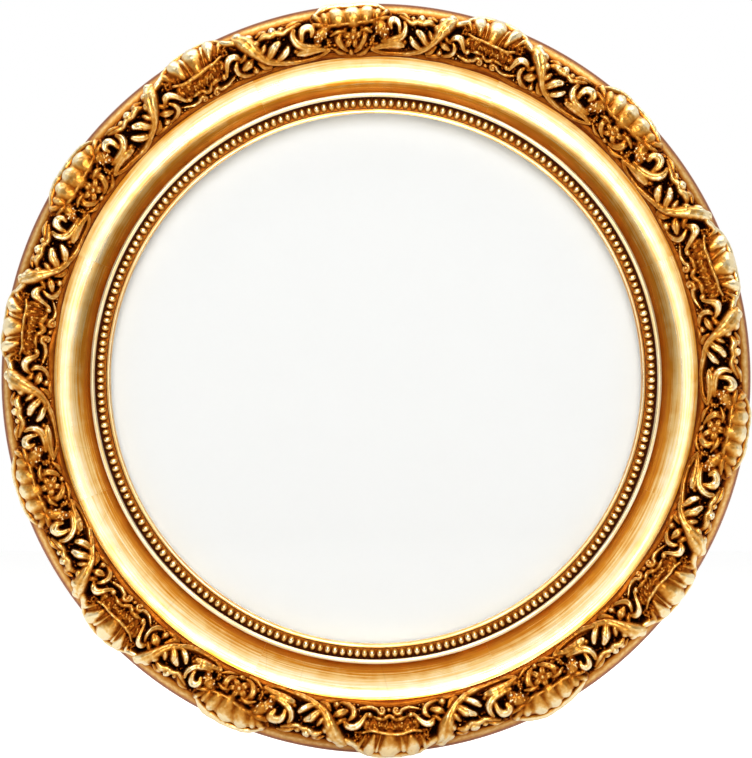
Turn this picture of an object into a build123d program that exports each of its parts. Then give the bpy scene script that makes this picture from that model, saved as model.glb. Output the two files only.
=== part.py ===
from build123d import *

# Round gilt photo frame for a 12 inch picture, hung on a wall.
# The frame's axis is Y and its face looks along -Y. Y = 0 is the plane of the wall.
# Depths are measured forward from that plane. Clock angles run clockwise from the top,
# as seen from the front. All sizes are in millimetres and degrees.

import os
from dataclasses import dataclass
from math import asin, atan2, cos, degrees, hypot, pi, radians, sin, sqrt

# The picture and what lies behind it
PICTURE_RADIUS = 152.4
RABBET_PLAY = 1.6
SIGHT_OVERLAP = 4.9
GLASS_THICKNESS = 2.0
PRINT_THICKNESS = 0.4
FILLER_THICKNESS = 3.0
BACKING_THICKNESS = 3.0

# Widths across the face of the moulding, from the sight edge outward
LIP_WIDTH = 2.2
CHANNEL_WIDTH = 6.7
FILLET_WIDTH = 2.4
COVE_WIDTH = 20.4
RIM_WIDTH = 29.45

# Depths of the face in front of the rabbet's shoulder
LIP_RISE = 10.2
LIP_ROUND = 1.1
CHANNEL_RISE = 9.6
FILLET_RISE = 12.3
FILLET_ROUND = 0.5
COVE_RISE = 11.9
FOOT_RISE = 7.3
COVE_SAG = 3.1
RIM_CROWN = 10.6

# The flat ring at the back, with a ledge for the turn buttons and a pocket for the hanger
LEDGE_DEPTH = 5.0
LEDGE_WIDTH = 18.0
BACK_EDGE_INSET = 4.6
BACK_STEP = 0.6
POCKET_DEPTH = 10.0
POCKET_PLAY = 3.0

# The segments of the moulding and the loose tongues between them
SEGMENT_COUNT = 8
FIRST_JOINT = 22.5
TONGUE_THICKNESS = 3.0
TONGUE_LENGTH = 18.0
TONGUE_WIDTH = 20.0
TONGUE_INSET = 16.0
TONGUE_LIFT = 1.5

# The pearl strip in the channel of the sight slip
STRIP_MARGIN = 0.5
STRIP_THICKNESS = 0.6
PEARL_RADIUS = 2.0
PEARL_PITCH = 4.15
PEARL_LIFT = 0.3

# The cast ornament on the rim
GLUE_LINE = 0.05
BED_ARC = 12.4
BED_FLAT_ANGLE = 35.0
PLAIN_EDGE = 1.6
GROUND_RISE = 0.6
GROUND_FLATS = 8
CASTING_GAP = 0.2
LEAN_LIFT = 0.25
MERGE_TOLERANCE = 0.001
LEAN_SHIFT = 2.4
TIP_LIFT = 0.45
TIP_ANGLE = 14.0

# The turn buttons and their screws
BUTTON_COUNT = 6
FIRST_BUTTON = 30.0
BUTTON_THICKNESS = 1.2
BUTTON_END_RADIUS = 4.0
BUTTON_REACH = 11.5
BUTTON_INSET = 9.5
BUTTON_GAP = 0.15
SCREW_RADIUS = 1.5
SCREW_LENGTH = 7.5
SCREW_PLAY = 0.05
HEAD_RADIUS = 2.9
HEAD_HEIGHT = 2.0
HEAD_GAP = 0.1
SLOT_WIDTH = 0.8
SLOT_DEPTH = 0.9

# The strap hanger and its ring
WIRE_RADIUS = 1.2
RING_BAR = 12.0
RING_CORNER = 3.0
RING_LEG = 3.0
RING_REST = 0.3
STRAP_SHEET = 0.8
STRAP_PLAY = 0.05
STRAP_SIDE_PLAY = 0.5
STRAP_OVERHANG = 2.2
STRAP_MARGIN = 1.5
STRAP_SCREW_SPACING = 8.5
STRAP_HEAD_RADIUS = 2.6
STRAP_HEAD_HEIGHT = 1.5

# Places worked out from the sizes above
SIGHT_RADIUS = PICTURE_RADIUS - SIGHT_OVERLAP
RABBET_RADIUS = PICTURE_RADIUS + RABBET_PLAY
LIP_RADIUS = SIGHT_RADIUS + LIP_WIDTH
CHANNEL_RADIUS = LIP_RADIUS + CHANNEL_WIDTH
SLIP_RADIUS = CHANNEL_RADIUS + FILLET_WIDTH
FOOT_RADIUS = SLIP_RADIUS + COVE_WIDTH
RIM_RADIUS = FOOT_RADIUS + RIM_WIDTH
LEDGE_RADIUS = RABBET_RADIUS + LEDGE_WIDTH
FILLER_FRONT = LEDGE_DEPTH + BACKING_THICKNESS + FILLER_THICKNESS
PRINT_FRONT = FILLER_FRONT + PRINT_THICKNESS
SHOULDER = PRINT_FRONT + GLASS_THICKNESS
PEARL_CIRCLE = (LIP_RADIUS + CHANNEL_RADIUS) / 2
RING_ARC = RING_BAR / 2 + RING_CORNER
BARREL_RADIUS = WIRE_RADIUS + STRAP_PLAY + STRAP_SHEET
STRAP_WIDTH = RING_BAR - 2 * STRAP_SIDE_PLAY
RING_PIVOT = (LEDGE_RADIUS + STRAP_OVERHANG, LEDGE_DEPTH - BARREL_RADIUS)
RING_HEIGHT = RING_CORNER + RING_LEG + RING_ARC
RING_LEAN = degrees(asin((POCKET_DEPTH - RING_REST - WIRE_RADIUS - RING_PIVOT[1]) / RING_HEIGHT))
POCKET_WIDTH = 2 * (RING_ARC + WIRE_RADIUS + POCKET_PLAY)
BUTTON_CIRCLE = RABBET_RADIUS + BUTTON_INSET
BUTTON_BACK = LEDGE_DEPTH - BUTTON_GAP - BUTTON_THICKNESS


@dataclass(frozen=True)
class Casting:
    """One length of cast ornament: its kind, clock angle and how far its shell leans out."""

    kind: str
    clock: float
    overhang: float


@dataclass(frozen=True)
class Lump:
    """A leaf-like lump of relief: place on the drawing, length, width and turn from the rim's run."""

    x: float
    y: float
    length: float
    width: float
    turn: float
    leans: bool = False


# The castings were bent on by hand while warm, so their spacing and lean are uneven.
CASTINGS = (
    Casting("cartouche", -4.0, 2.0),
    Casting("shell", 19.0, 1.0),
    Casting("cartouche", 44.0, 1.0),
    Casting("shell", 72.0, 3.0),
    Casting("cartouche", 99.0, 0.3),
    Casting("shell", 126.0, 0.3),
    Casting("cartouche", 151.0, 3.3),
    Casting("shell", 178.0, 2.8),
    Casting("cartouche", 204.0, 4.4),
    Casting("shell", 227.0, 2.0),
    Casting("cartouche", 252.0, 0.5),
    Casting("shell", 278.0, 0.5),
    Casting("cartouche", 303.5, 1.0),
    Casting("shell", 330.0, 0.3),
)

# Half of each drawing. x runs from the casting's centre, in hundredths of the way to the next one.
# y runs from the foot, in hundredths of the rim's arc. Lengths and widths are in hundredths of the
# mean repeat. Lumps with x over zero are mirrored on the other side.
SHELL_LUMPS = (
    Lump(0.0, 66.8, 16.8, 7.2, 90, True),
    Lump(7.1, 66.1, 16.2, 5.1, 86, True),
    Lump(13.2, 64.6, 13.9, 4.9, 80, True),
    Lump(0.0, 35.7, 28.9, 5.8, 0),
    Lump(22.4, 36.2, 10.4, 3.7, 62),
    Lump(29.3, 34.5, 8.1, 3.2, -64),
    Lump(27.3, 61.2, 8.3, 3.9, -26),
    Lump(35.7, 49.9, 8.3, 4.9, -42),
    Lump(42.9, 34.3, 8.3, 4.4, -50),
    Lump(38.0, 20.6, 8.3, 3.5, 32),
    Lump(5.3, 17.1, 4.6, 3.7, 40),
    Lump(13.3, 23.0, 3.0, 3.0, 0),
    Lump(20.6, 19.1, 8.1, 2.5, 8),
)
CARTOUCHE_LUMPS = (
    Lump(0.0, 67.3, 16.2, 8.9, 90, True),
    Lump(9.0, 66.1, 15.6, 6.7, 86, True),
    Lump(15.9, 63.1, 11.6, 4.9, 78, True),
    Lump(20.1, 35.7, 9.0, 8.8, 40),
    Lump(25.9, 50.4, 7.6, 3.5, 20),
    Lump(35.2, 44.0, 8.3, 3.5, 86),
    Lump(32.7, 29.4, 5.6, 3.5, 50),
    Lump(22.9, 20.3, 11.1, 3.7, 4),
    Lump(46.5, 34.0, 7.6, 3.2, 76),
    Lump(40.7, 29.4, 6.2, 3.0, 62),
    Lump(42.8, 58.7, 3.7, 3.7, 0),
    Lump(38.0, 60.2, 3.2, 3.2, 0),
    Lump(38.2, 14.4, 15.0, 3.2, -8),
)
FLOWER_HEIGHT = 32.0
FLOWER_PETALS = 5
FLOWER_RADIUS = 4.4
PETAL_LENGTH = 4.2
PETAL_WIDTH = 3.4
FLOWER_EYE = 1.8


def point(radius, depth):
    """A point of a turned section, in the plane that holds the axis."""
    return (radius, -depth)


def section(*edges):
    """The face bounded by edges that follow one another."""
    return Face(Wire(edges))


def outline(*points):
    """The face bounded by straight lines through the points."""
    return section(*Polyline(*points, close=True).edges())


def turned(face, span=360.0, start=90.0):
    """A section turned about the frame's axis from a clock angle through a span."""
    return at_clock(revolve(face, Axis.Y, span), start)


def at_clock(shape, clock):
    """Carries a shape made at three o'clock round to a clock angle."""
    return Rot(0, clock - 90, 0) * shape


def mid_arc(start, end, sag):
    """The middle of an arc from start to end that bulges by sag to the left of the chord."""
    run, rise = end[0] - start[0], end[1] - start[1]
    chord = hypot(run, rise)
    return (
        (start[0] + end[0]) / 2 - rise / chord * sag,
        (start[1] + end[1]) / 2 + run / chord * sag,
    )


# The rim's arc: a circle through the foot of the cove and the outer edge
RIM_FOOT = (FOOT_RADIUS, SHOULDER + FOOT_RISE)
RIM_EDGE = (RIM_RADIUS, SHOULDER)
RIM_CHORD = hypot(RIM_EDGE[0] - RIM_FOOT[0], RIM_EDGE[1] - RIM_FOOT[1])
RIM_ARC = (RIM_CHORD**2 / 4 + RIM_CROWN**2) / (2 * RIM_CROWN)
RIM_CENTRE = mid_arc(RIM_FOOT, RIM_EDGE, RIM_CROWN - RIM_ARC)


def rim_angle(place):
    """The angle on the rim's arc of a place, from straight forward towards the outside."""
    return degrees(atan2(place[0] - RIM_CENTRE[0], place[1] - RIM_CENTRE[1]))


def rim_place(angle, height):
    """Radius and depth of a point on the rim's arc, raised by a height along its normal."""
    reach = RIM_ARC + height
    return (
        RIM_CENTRE[0] + reach * sin(radians(angle)),
        RIM_CENTRE[1] + reach * cos(radians(angle)),
    )


def drawing_angle(y):
    """The angle on the rim's arc at a height y of the drawing, in hundredths of the arc."""
    first, last = rim_angle(RIM_FOOT), rim_angle(RIM_EDGE)
    return first + (last - first) * y / 100


def drawn(share):
    """A length of the drawing from its share of the mean repeat, in hundredths."""
    return share / 100 * 2 * pi * RIM_CENTRE[0] / len(CASTINGS)


def bed_places(clearance, end_clearance):
    """The bed that the castings lie in, from the foot to the wall at its outer end."""
    first, last = rim_angle(RIM_FOOT), bed_end(end_clearance)
    seat = BED_ARC - RIM_ARC + clearance
    return [
        rim_place(first, clearance),
        rim_place(-BED_FLAT_ANGLE, seat),
        rim_place(BED_FLAT_ANGLE, seat),
        rim_place(last, seat),
    ]


def bed_end(clearance=0.0):
    """The angle on the rim's arc where the bed ends and the plain outer edge begins."""
    return rim_angle(RIM_EDGE) - degrees((PLAIN_EDGE + clearance) / RIM_ARC)


def moulding_section():
    """The cove, the bed for the ornament and the plain edge, down to the rabbet's shoulder."""
    top = (SLIP_RADIUS, SHOULDER + COVE_RISE)
    bed = bed_places(0.0, 0.0)
    edge = rim_place(bed_end(), 0.0)
    middle = rim_place((bed_end() + rim_angle(RIM_EDGE)) / 2, 0.0)
    return section(
        Line(point(SLIP_RADIUS, SHOULDER), point(*top)),
        ThreePointArc(point(*top), point(*mid_arc(top, RIM_FOOT, -COVE_SAG)), point(*RIM_FOOT)),
        *Polyline(*[point(*place) for place in bed + [edge]]).edges(),
        ThreePointArc(point(*edge), point(*middle), point(*RIM_EDGE)),
        Line(point(*RIM_EDGE), point(SLIP_RADIUS, SHOULDER)),
    )


def tongue():
    """A loose tongue at three o'clock, half in each of the two segments that meet there."""
    middle = RIM_RADIUS - TONGUE_INSET - TONGUE_WIDTH / 2
    depth = SHOULDER + TONGUE_LIFT + TONGUE_THICKNESS / 2
    return Pos(middle, -depth, 0) * Box(TONGUE_WIDTH, TONGUE_THICKNESS, TONGUE_LENGTH)


def segment_joints():
    """Clock angles of the joints between the segments of the moulding."""
    return [FIRST_JOINT + 360 / SEGMENT_COUNT * i for i in range(SEGMENT_COUNT)]


def moulding_segments():
    """The lengths of moulding that make up the front of the ring, slotted at both ends."""
    face = moulding_section()
    span = 360 / SEGMENT_COUNT
    segments = {}
    for i, joint in enumerate(segment_joints()):
        block = turned(face, span, joint)
        block -= at_clock(tongue(), joint) + at_clock(tongue(), joint + span)
        segments[f"moulding_segment_{i + 1}"] = block
    return segments


def joint_tongues():
    """The loose tongues glued across the joints of the moulding."""
    return Compound([at_clock(tongue(), joint).solid() for joint in segment_joints()])


def rabbet_ring():
    """The flat ring at the back: rabbet wall, ledge, hanger pocket and pilot holes."""
    front = RIM_RADIUS - BACK_STEP
    ring = turned(
        outline(
            point(RABBET_RADIUS, SHOULDER),
            point(front, SHOULDER),
            point(front - BACK_EDGE_INSET, 0),
            point(LEDGE_RADIUS, 0),
            point(LEDGE_RADIUS, LEDGE_DEPTH),
            point(RABBET_RADIUS, LEDGE_DEPTH),
        )
    )
    low = sqrt(LEDGE_RADIUS**2 - POCKET_WIDTH**2 / 4)
    high = RING_PIVOT[0] + RING_HEIGHT + WIRE_RADIUS + POCKET_PLAY
    pocket = Pos(0, 0, (low + high) / 2) * Box(POCKET_WIDTH, 2 * POCKET_DEPTH, high - low)
    ring -= pocket
    pilot = Cylinder(SCREW_RADIUS, SCREW_LENGTH, align=(Align.CENTER, Align.CENTER, Align.MIN))
    for place in screw_places() + strap_screw_places():
        ring -= forward(place, LEDGE_DEPTH) * pilot
    return ring


def forward(place, depth):
    """The location at x and z of a place, at a depth, whose Z runs towards the face."""
    return Location(Plane((place[0], -depth, place[1]), x_dir=(1, 0, 0), z_dir=(0, -1, 0)))


def sight_slip():
    """The ring at the sight edge: rounded lip, channel for the pearls and fillet."""
    outer = SLIP_RADIUS - GLUE_LINE
    lip = SHOULDER + LIP_RISE
    floor = SHOULDER + CHANNEL_RISE
    crest = SHOULDER + FILLET_RISE
    lip_start, lip_end = (SIGHT_RADIUS, lip), (LIP_RADIUS, lip)
    top_start, top_end = (CHANNEL_RADIUS, crest), (outer, crest)
    return turned(
        section(
            Line(point(SIGHT_RADIUS, SHOULDER), point(*lip_start)),
            ThreePointArc(
                point(*lip_start), point(*mid_arc(lip_start, lip_end, LIP_ROUND)), point(*lip_end)
            ),
            Line(point(*lip_end), point(LIP_RADIUS, floor)),
            Line(point(LIP_RADIUS, floor), point(CHANNEL_RADIUS, floor)),
            Line(point(CHANNEL_RADIUS, floor), point(*top_start)),
            ThreePointArc(
                point(*top_start), point(*mid_arc(top_start, top_end, FILLET_ROUND)), point(*top_end)
            ),
            Line(point(*top_end), point(outer, SHOULDER)),
            Line(point(outer, SHOULDER), point(SIGHT_RADIUS, SHOULDER)),
        )
    )


def pearl_strip():
    """A band of pearls pressed in one strip, bent round and glued into the channel."""
    floor = SHOULDER + CHANNEL_RISE
    top = floor + STRIP_THICKNESS
    inner, outer = LIP_RADIUS + STRIP_MARGIN, CHANNEL_RADIUS - STRIP_MARGIN
    band = turned(
        outline(point(inner, floor), point(outer, floor), point(outer, top), point(inner, top))
    )
    count = int(2 * pi * PEARL_CIRCLE / PEARL_PITCH)
    pearl = Pos(PEARL_CIRCLE, -(top + PEARL_LIFT), 0) * Sphere(PEARL_RADIUS)
    pearl &= Pos(PEARL_CIRCLE, -floor - PEARL_RADIUS * 2, 0) * Box(
        PEARL_RADIUS * 4, PEARL_RADIUS * 4, PEARL_RADIUS * 4
    )
    return band.fuse(*[at_clock(pearl, 360 / count * i) for i in range(count)])


def disc(radius, back, front):
    """A flat disc on the frame's axis between two depths."""
    return Pos(0, -(back + front) / 2, 0) * (Rot(90, 0, 0) * Cylinder(radius, front - back))


def rim_frame(clock, angle, height):
    """The plane on the raised rim: X runs clockwise, Y outward along the arc, Z along the normal."""
    radius, depth = rim_place(angle, height)
    turn, tilt = radians(clock), radians(angle)
    return Plane(
        origin=(radius * sin(turn), -depth, radius * cos(turn)),
        x_dir=(cos(turn), 0, -sin(turn)),
        z_dir=(sin(tilt) * sin(turn), -cos(tilt), sin(tilt) * cos(turn)),
    )


def spindle(length, width):
    """An ellipse turned about its long axis, which lies along X, with blunt tips."""
    long, wide = length / 2, width / 2
    bow = EllipticalCenterArc((0, 0), long, wide, start_angle=TIP_ANGLE, arc_size=180 - 2 * TIP_ANGLE)
    start, end = bow @ 0, bow @ 1
    axis = Line((end.X, 0), (start.X, 0))
    face = section(bow, Line(end, axis @ 0), axis, Line(axis @ 1, start))
    return Rot(-90, 0, 0) * revolve(face, Axis.X, 360)


@dataclass(frozen=True)
class Fitting:
    """Where one casting lies: its own clock angle and its spacing to the next on each side."""

    clock: float
    before: float
    after: float

    def angle(self, x):
        """The clock angle at a place x of the drawing, either side of the centre."""
        spacing = self.after if x >= 0 else self.before
        return self.clock + x / 100 * spacing


def fittings():
    """The fitting of every casting, from the clock angles of its neighbours."""
    clocks = [casting.clock for casting in CASTINGS]
    count = len(clocks)
    found = []
    for i, clock in enumerate(clocks):
        before = (clock - clocks[i - 1]) % 360
        after = (clocks[(i + 1) % count] - clock) % 360
        found.append(Fitting(clock, before, after))
    return found


def lump_solids(lumps, fitting, overhang):
    """The leaf-like lumps of one casting, both sides of its centre, their tips standing free."""
    solids = []
    for lump in lumps:
        lean = overhang if lump.leans else 0.0
        angle = drawing_angle(lump.y + lean * LEAN_SHIFT)
        height = GROUND_RISE + TIP_LIFT + lean * LEAN_LIFT
        for side in (1, -1) if lump.x else (1,):
            body = Rot(0, 0, side * lump.turn) * spindle(drawn(lump.length), drawn(lump.width))
            solids.append(rim_frame(fitting.angle(side * lump.x), angle, height).location * body)
    return solids


def shell_relief(casting, fitting):
    """Relief of a shell casting: fluted shell, panel below it, curls and flanking leaves."""
    return lump_solids(SHELL_LUMPS, fitting, casting.overhang)


def cartouche_relief(casting, fitting):
    """Relief of a cartouche casting: broad shell, flower, scrolls and the leaves' tails."""
    solids = lump_solids(CARTOUCHE_LUMPS, fitting, casting.overhang)
    frame = rim_frame(fitting.clock, drawing_angle(FLOWER_HEIGHT), GROUND_RISE + TIP_LIFT)
    solids.append(frame.location * Sphere(drawn(FLOWER_EYE)))
    for i in range(FLOWER_PETALS):
        petal = Pos(drawn(FLOWER_RADIUS), 0, 0) * spindle(drawn(PETAL_LENGTH), drawn(PETAL_WIDTH))
        solids.append(frame.location * (Rot(0, 0, 90 + 360 / FLOWER_PETALS * i) * petal))
    return solids


def casting_ground():
    """Section of the body that carries the relief: it fills the bed and stands a little proud."""
    bed = bed_places(GLUE_LINE, GLUE_LINE)
    first, last = rim_angle(RIM_FOOT), bed_end(GLUE_LINE)
    steps = [last + (first - last) * i / GROUND_FLATS for i in range(GROUND_FLATS + 1)]
    face = [rim_place(angle, GROUND_RISE) for angle in steps]
    return outline(*[point(*place) for place in bed + face])


def rim_castings():
    """Every casting of the rim, cut to its own length and seated in the bed."""
    ground = casting_ground()
    relief = {"shell": shell_relief, "cartouche": cartouche_relief}
    counts = {kind: 0 for kind in relief}
    gap = degrees(CASTING_GAP / RIM_RADIUS)
    made = {}
    for casting, fitting in zip(CASTINGS, fittings()):
        start = fitting.clock - fitting.before / 2 + gap / 2
        span = (fitting.before + fitting.after) / 2 - gap
        lumps = relief[casting.kind](casting, fitting)
        body = turned(ground, span, start).fuse(*lumps, tol=MERGE_TOLERANCE)
        counts[casting.kind] += 1
        made[f"{casting.kind}_casting_{counts[casting.kind]}"] = body
    return made


def button_clocks():
    """Clock angles of the turn buttons."""
    return [FIRST_BUTTON + 360 / BUTTON_COUNT * i for i in range(BUTTON_COUNT)]


def screw_places():
    """X and Z of the screws that the buttons turn on."""
    return [
        (BUTTON_CIRCLE * sin(radians(c)), BUTTON_CIRCLE * cos(radians(c))) for c in button_clocks()
    ]


def turn_buttons():
    """Flat buttons that turn on their screws and hold the backing in, all pointing inward."""
    blank = Pos(-BUTTON_REACH / 2, 0) * SlotCenterToCenter(BUTTON_REACH, 2 * BUTTON_END_RADIUS)
    blank -= Circle(SCREW_RADIUS + SCREW_PLAY)
    plate = extrude(blank, BUTTON_THICKNESS)
    edge = BUTTON_THICKNESS / 4
    plate = fillet(plate.faces().sort_by(Axis.Z)[-1].outer_wire().edges(), edge)
    seat = Location(Plane((BUTTON_CIRCLE, -(BUTTON_BACK + BUTTON_THICKNESS), 0), (1, 0, 0), (0, 1, 0)))
    return {
        f"turn_button_{i + 1}": at_clock(seat * plate, clock)
        for i, clock in enumerate(button_clocks())
    }


def wood_screw(head_radius, head_height, head_depth):
    """The depth of a slotted screw's back and the screw, whose head seats at a depth."""
    back = head_depth - head_height
    shank_length = SCREW_LENGTH + LEDGE_DEPTH - head_depth
    low = (Align.CENTER, Align.CENTER, Align.MIN)
    head = Cylinder(head_radius, head_height, align=low)
    head = fillet(head.edges().group_by(Axis.Z)[0], head_height / 2)
    head -= Box(3 * head_radius, SLOT_WIDTH, 2 * SLOT_DEPTH)
    shank = Pos(0, 0, head_height) * Cylinder(SCREW_RADIUS, shank_length, align=low)
    return back, head + shank


def screws_at(places, head_radius, head_height, head_depth):
    """A group of like screws, each a separate solid."""
    back, screw = wood_screw(head_radius, head_height, head_depth)
    return Compound([(forward(place, back) * screw).solid() for place in places])


def strap_screw_places():
    """X and Z of the two screws of the strap."""
    top = LEDGE_RADIUS - STRAP_MARGIN - STRAP_HEAD_RADIUS
    return [(0, top), (0, top - STRAP_SCREW_SPACING)]


def hanger_strap():
    """A strip folded round the ring's bar, its two layers screwed down on the ledge."""
    height, depth = RING_PIVOT
    sheet = 2 * STRAP_SHEET
    low = strap_screw_places()[-1][1] - STRAP_HEAD_RADIUS - STRAP_MARGIN
    tail = Pos(0, -(LEDGE_DEPTH - sheet / 2), (low + height) / 2) * Box(
        STRAP_WIDTH, sheet, height - low
    )
    barrel = Rot(0, 90, 0) * Cylinder(BARREL_RADIUS, STRAP_WIDTH)
    bore = Rot(0, 90, 0) * Cylinder(WIRE_RADIUS + STRAP_PLAY, 2 * STRAP_WIDTH)
    pivot = Pos(0, -depth, height)
    strap = tail + pivot * barrel - pivot * bore
    hole = Cylinder(SCREW_RADIUS + SCREW_PLAY, 3 * sheet)
    for place in strap_screw_places():
        strap -= forward(place, LEDGE_DEPTH) * hole
    return strap


def hanger_ring():
    """The wire ring: a straight bar in the strap, round corners, short legs and a round bow."""
    half = RING_BAR / 2
    foot, shoulder = RING_CORNER, RING_CORNER + RING_LEG
    sine = RING_CORNER * (1 - sqrt(0.5))
    path = Wire(
        [
            Line((-half, 0), (half, 0)),
            ThreePointArc((half, 0), (RING_ARC - sine, sine), (RING_ARC, foot)),
            Line((RING_ARC, foot), (RING_ARC, shoulder)),
            ThreePointArc((RING_ARC, shoulder), (0, RING_HEIGHT), (-RING_ARC, shoulder)),
            Line((-RING_ARC, shoulder), (-RING_ARC, foot)),
            ThreePointArc((-RING_ARC, foot), (-RING_ARC + sine, sine), (-half, 0)),
        ]
    )
    wire = sweep(Plane((0, 0), z_dir=(1, 0, 0)) * Circle(WIRE_RADIUS), path)
    height, depth = RING_PIVOT
    upright = Location(Plane((0, -depth, height), x_dir=(1, 0, 0), z_dir=(0, -1, 0)))
    return upright * (Rot(RING_LEAN, 0, 0) * wire)


def frame_parts():
    """Every node of the frame by name."""
    parts = {"rabbet_ring": rabbet_ring(), **moulding_segments(), "joint_tongues": joint_tongues()}
    parts["sight_slip"] = sight_slip()
    parts["pearl_strip"] = pearl_strip()
    parts.update(rim_castings())
    parts["backing_board"] = disc(PICTURE_RADIUS, LEDGE_DEPTH, LEDGE_DEPTH + BACKING_THICKNESS)
    parts["filler_board"] = disc(PICTURE_RADIUS, LEDGE_DEPTH + BACKING_THICKNESS, FILLER_FRONT)
    parts["photo_print"] = disc(PICTURE_RADIUS, FILLER_FRONT, PRINT_FRONT)
    parts["glass"] = disc(PICTURE_RADIUS, PRINT_FRONT, SHOULDER)
    parts.update(turn_buttons())
    parts["turn_button_screws"] = screws_at(
        screw_places(), HEAD_RADIUS, HEAD_HEIGHT, BUTTON_BACK - HEAD_GAP
    )
    parts["hanger_strap"] = hanger_strap()
    parts["hanger_strap_screws"] = screws_at(
        strap_screw_places(), STRAP_HEAD_RADIUS, STRAP_HEAD_HEIGHT, LEDGE_DEPTH - 2 * STRAP_SHEET
    )
    parts["hanger_ring"] = hanger_ring()
    return parts


def main():
    """Writes every node to its own file."""
    os.makedirs("parts", exist_ok=True)
    for name, shape in frame_parts().items():
        export_step(shape, f"parts/{name}.step")
        print(name, len(shape.solids()))


main()
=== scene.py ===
"""Round gilt photo frame: the looks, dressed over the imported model.

Lengths are millimetres until a mesh is made, which turns them to metres, and only
the studio is given in metres. The frame's axis is Y and its face looks along -Y.
Depths run forward from the wall plane, and clock angles run clockwise from the
top, seen from the front.
"""

import logging
from dataclasses import dataclass
from enum import Enum
from functools import partial
from math import atan2, cos, degrees, pi, radians, sin
from typing import Any, Callable, ClassVar, Sequence

import bpy
import numpy as np
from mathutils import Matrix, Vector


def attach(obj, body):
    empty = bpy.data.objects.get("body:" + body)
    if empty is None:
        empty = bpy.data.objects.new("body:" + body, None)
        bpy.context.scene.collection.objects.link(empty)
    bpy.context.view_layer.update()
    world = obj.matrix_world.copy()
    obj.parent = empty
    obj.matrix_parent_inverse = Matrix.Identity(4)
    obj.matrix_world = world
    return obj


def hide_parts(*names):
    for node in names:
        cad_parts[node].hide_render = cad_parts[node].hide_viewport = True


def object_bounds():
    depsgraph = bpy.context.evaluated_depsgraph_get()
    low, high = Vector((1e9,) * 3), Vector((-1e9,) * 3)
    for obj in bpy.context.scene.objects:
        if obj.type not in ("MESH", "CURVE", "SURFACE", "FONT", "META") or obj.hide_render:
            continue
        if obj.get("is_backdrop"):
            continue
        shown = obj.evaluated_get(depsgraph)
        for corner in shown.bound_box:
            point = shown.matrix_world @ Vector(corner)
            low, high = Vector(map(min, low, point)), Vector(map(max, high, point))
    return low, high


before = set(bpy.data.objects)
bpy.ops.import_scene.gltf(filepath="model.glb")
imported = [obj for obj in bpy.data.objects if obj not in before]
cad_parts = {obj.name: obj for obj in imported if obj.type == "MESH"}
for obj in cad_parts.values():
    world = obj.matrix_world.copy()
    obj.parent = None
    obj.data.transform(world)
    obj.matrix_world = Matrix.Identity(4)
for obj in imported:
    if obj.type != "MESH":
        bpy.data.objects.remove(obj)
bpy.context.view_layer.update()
LOG = logging.getLogger("round_frame")
MM = 0.001
FRAME_BODY = "frame"
WHITE = "#FFFFFF"
# Most of a noise lies between these two values. A Map Range node takes its value at input 0, the
# ends of the range that goes in at 1 and 2, and those of the range that comes out at 3 and 4.
NOISE_LOW, NOISE_HIGH = 0.3, 0.7
# The bands of a wave texture of scale one repeat after this length.
WAVE_LENGTH = pi / 10

Array = np.ndarray
Colour = tuple[float, float, float, float]
Point = tuple[float, float, float, float]
Pair = tuple[float, float]
Stops = tuple[tuple[float, str], ...]
Material = bpy.types.Material
Piece = bpy.types.Object
Socket = bpy.types.NodeSocket
Tree = bpy.types.NodeTree
Inputs = dict[int | str, Any]
Adder = Callable[..., Socket]


def linear(code: str) -> Colour:
    """Turns an sRGB hex code into a linear colour.

    Args:
        code: Six hex digits with a leading hash.

    Returns:
        Red, green, blue and an alpha of one.
    """
    parts = [int(code[i : i + 2], 16) / 255 for i in (1, 3, 5)]
    made = [p / 12.92 if p <= 0.04045 else ((p + 0.055) / 1.055) ** 2.4 for p in parts]
    return (*made, 1.0)


def fill(tree: Tree, node: bpy.types.Node, inputs: Inputs) -> None:
    """Links the sockets and sets the values that a node's inputs are given.

    Args:
        tree: The node's tree.
        node: The node.
        inputs: Values or sockets by the name or number of the input.
    """
    for key, value in inputs.items():
        if isinstance(value, Socket):
            tree.links.new(value, node.inputs[key])
        else:
            node.inputs[key].default_value = value


def add_node(
    tree: Tree,
    kind: str,
    inputs: Inputs | None = None,
    output: int | str = 0,
    stops: Stops = (),
    **settings: Any,
) -> Socket:
    """Adds a node, sets its properties, and fills or links its inputs.

    Args:
        tree: The node tree that gets the node.
        kind: The node's type name after the word ShaderNode.
        inputs: Values or sockets by the name or number of the input.
        output: Name or number of the output that is wanted.
        stops: Places and hex codes of a colour ramp, from 0 to 1.
        **settings: The node's own properties.

    Returns:
        The wanted output.
    """
    node = tree.nodes.new("ShaderNode" + kind)
    for key, value in settings.items():
        setattr(node, key, value)
    fill(tree, node, inputs or {})
    if stops:
        elements = node.color_ramp.elements
        while len(elements) < len(stops):
            elements.new(1.0)
        for element, (place, code) in zip(elements, stops):
            element.position = place
            element.color = linear(code)
    return node.outputs[output]


def per_metre(size_mm: float) -> float:
    """The scale of a pattern on metres whose features are this many millimetres across."""
    return 1.0 / (size_mm * MM)


class Gold(str, Enum):
    """Tones of the gold: four of polished leaf, then those of the ornament from crest to pocket; the palest
    crest tones are partly painted highlight and the darkest are partly painted shade.
    """

    GLEAM = "#F1E3C2"
    PALE = "#E2B970"
    SHELLAC = "#C87F14"
    AMBER = "#BA6A10"
    BURNISHED_AND_HIGHLIGHT = "#EAD6A8"
    WORN_AND_HIGHLIGHT = "#DCB268"
    RUBBED = "#C08432"
    LEAF = "#9E5A16"
    TONED = "#743408"
    WASH_AND_SHADE = "#3E1605"
    POCKET_SHADE = "#120401"


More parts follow.
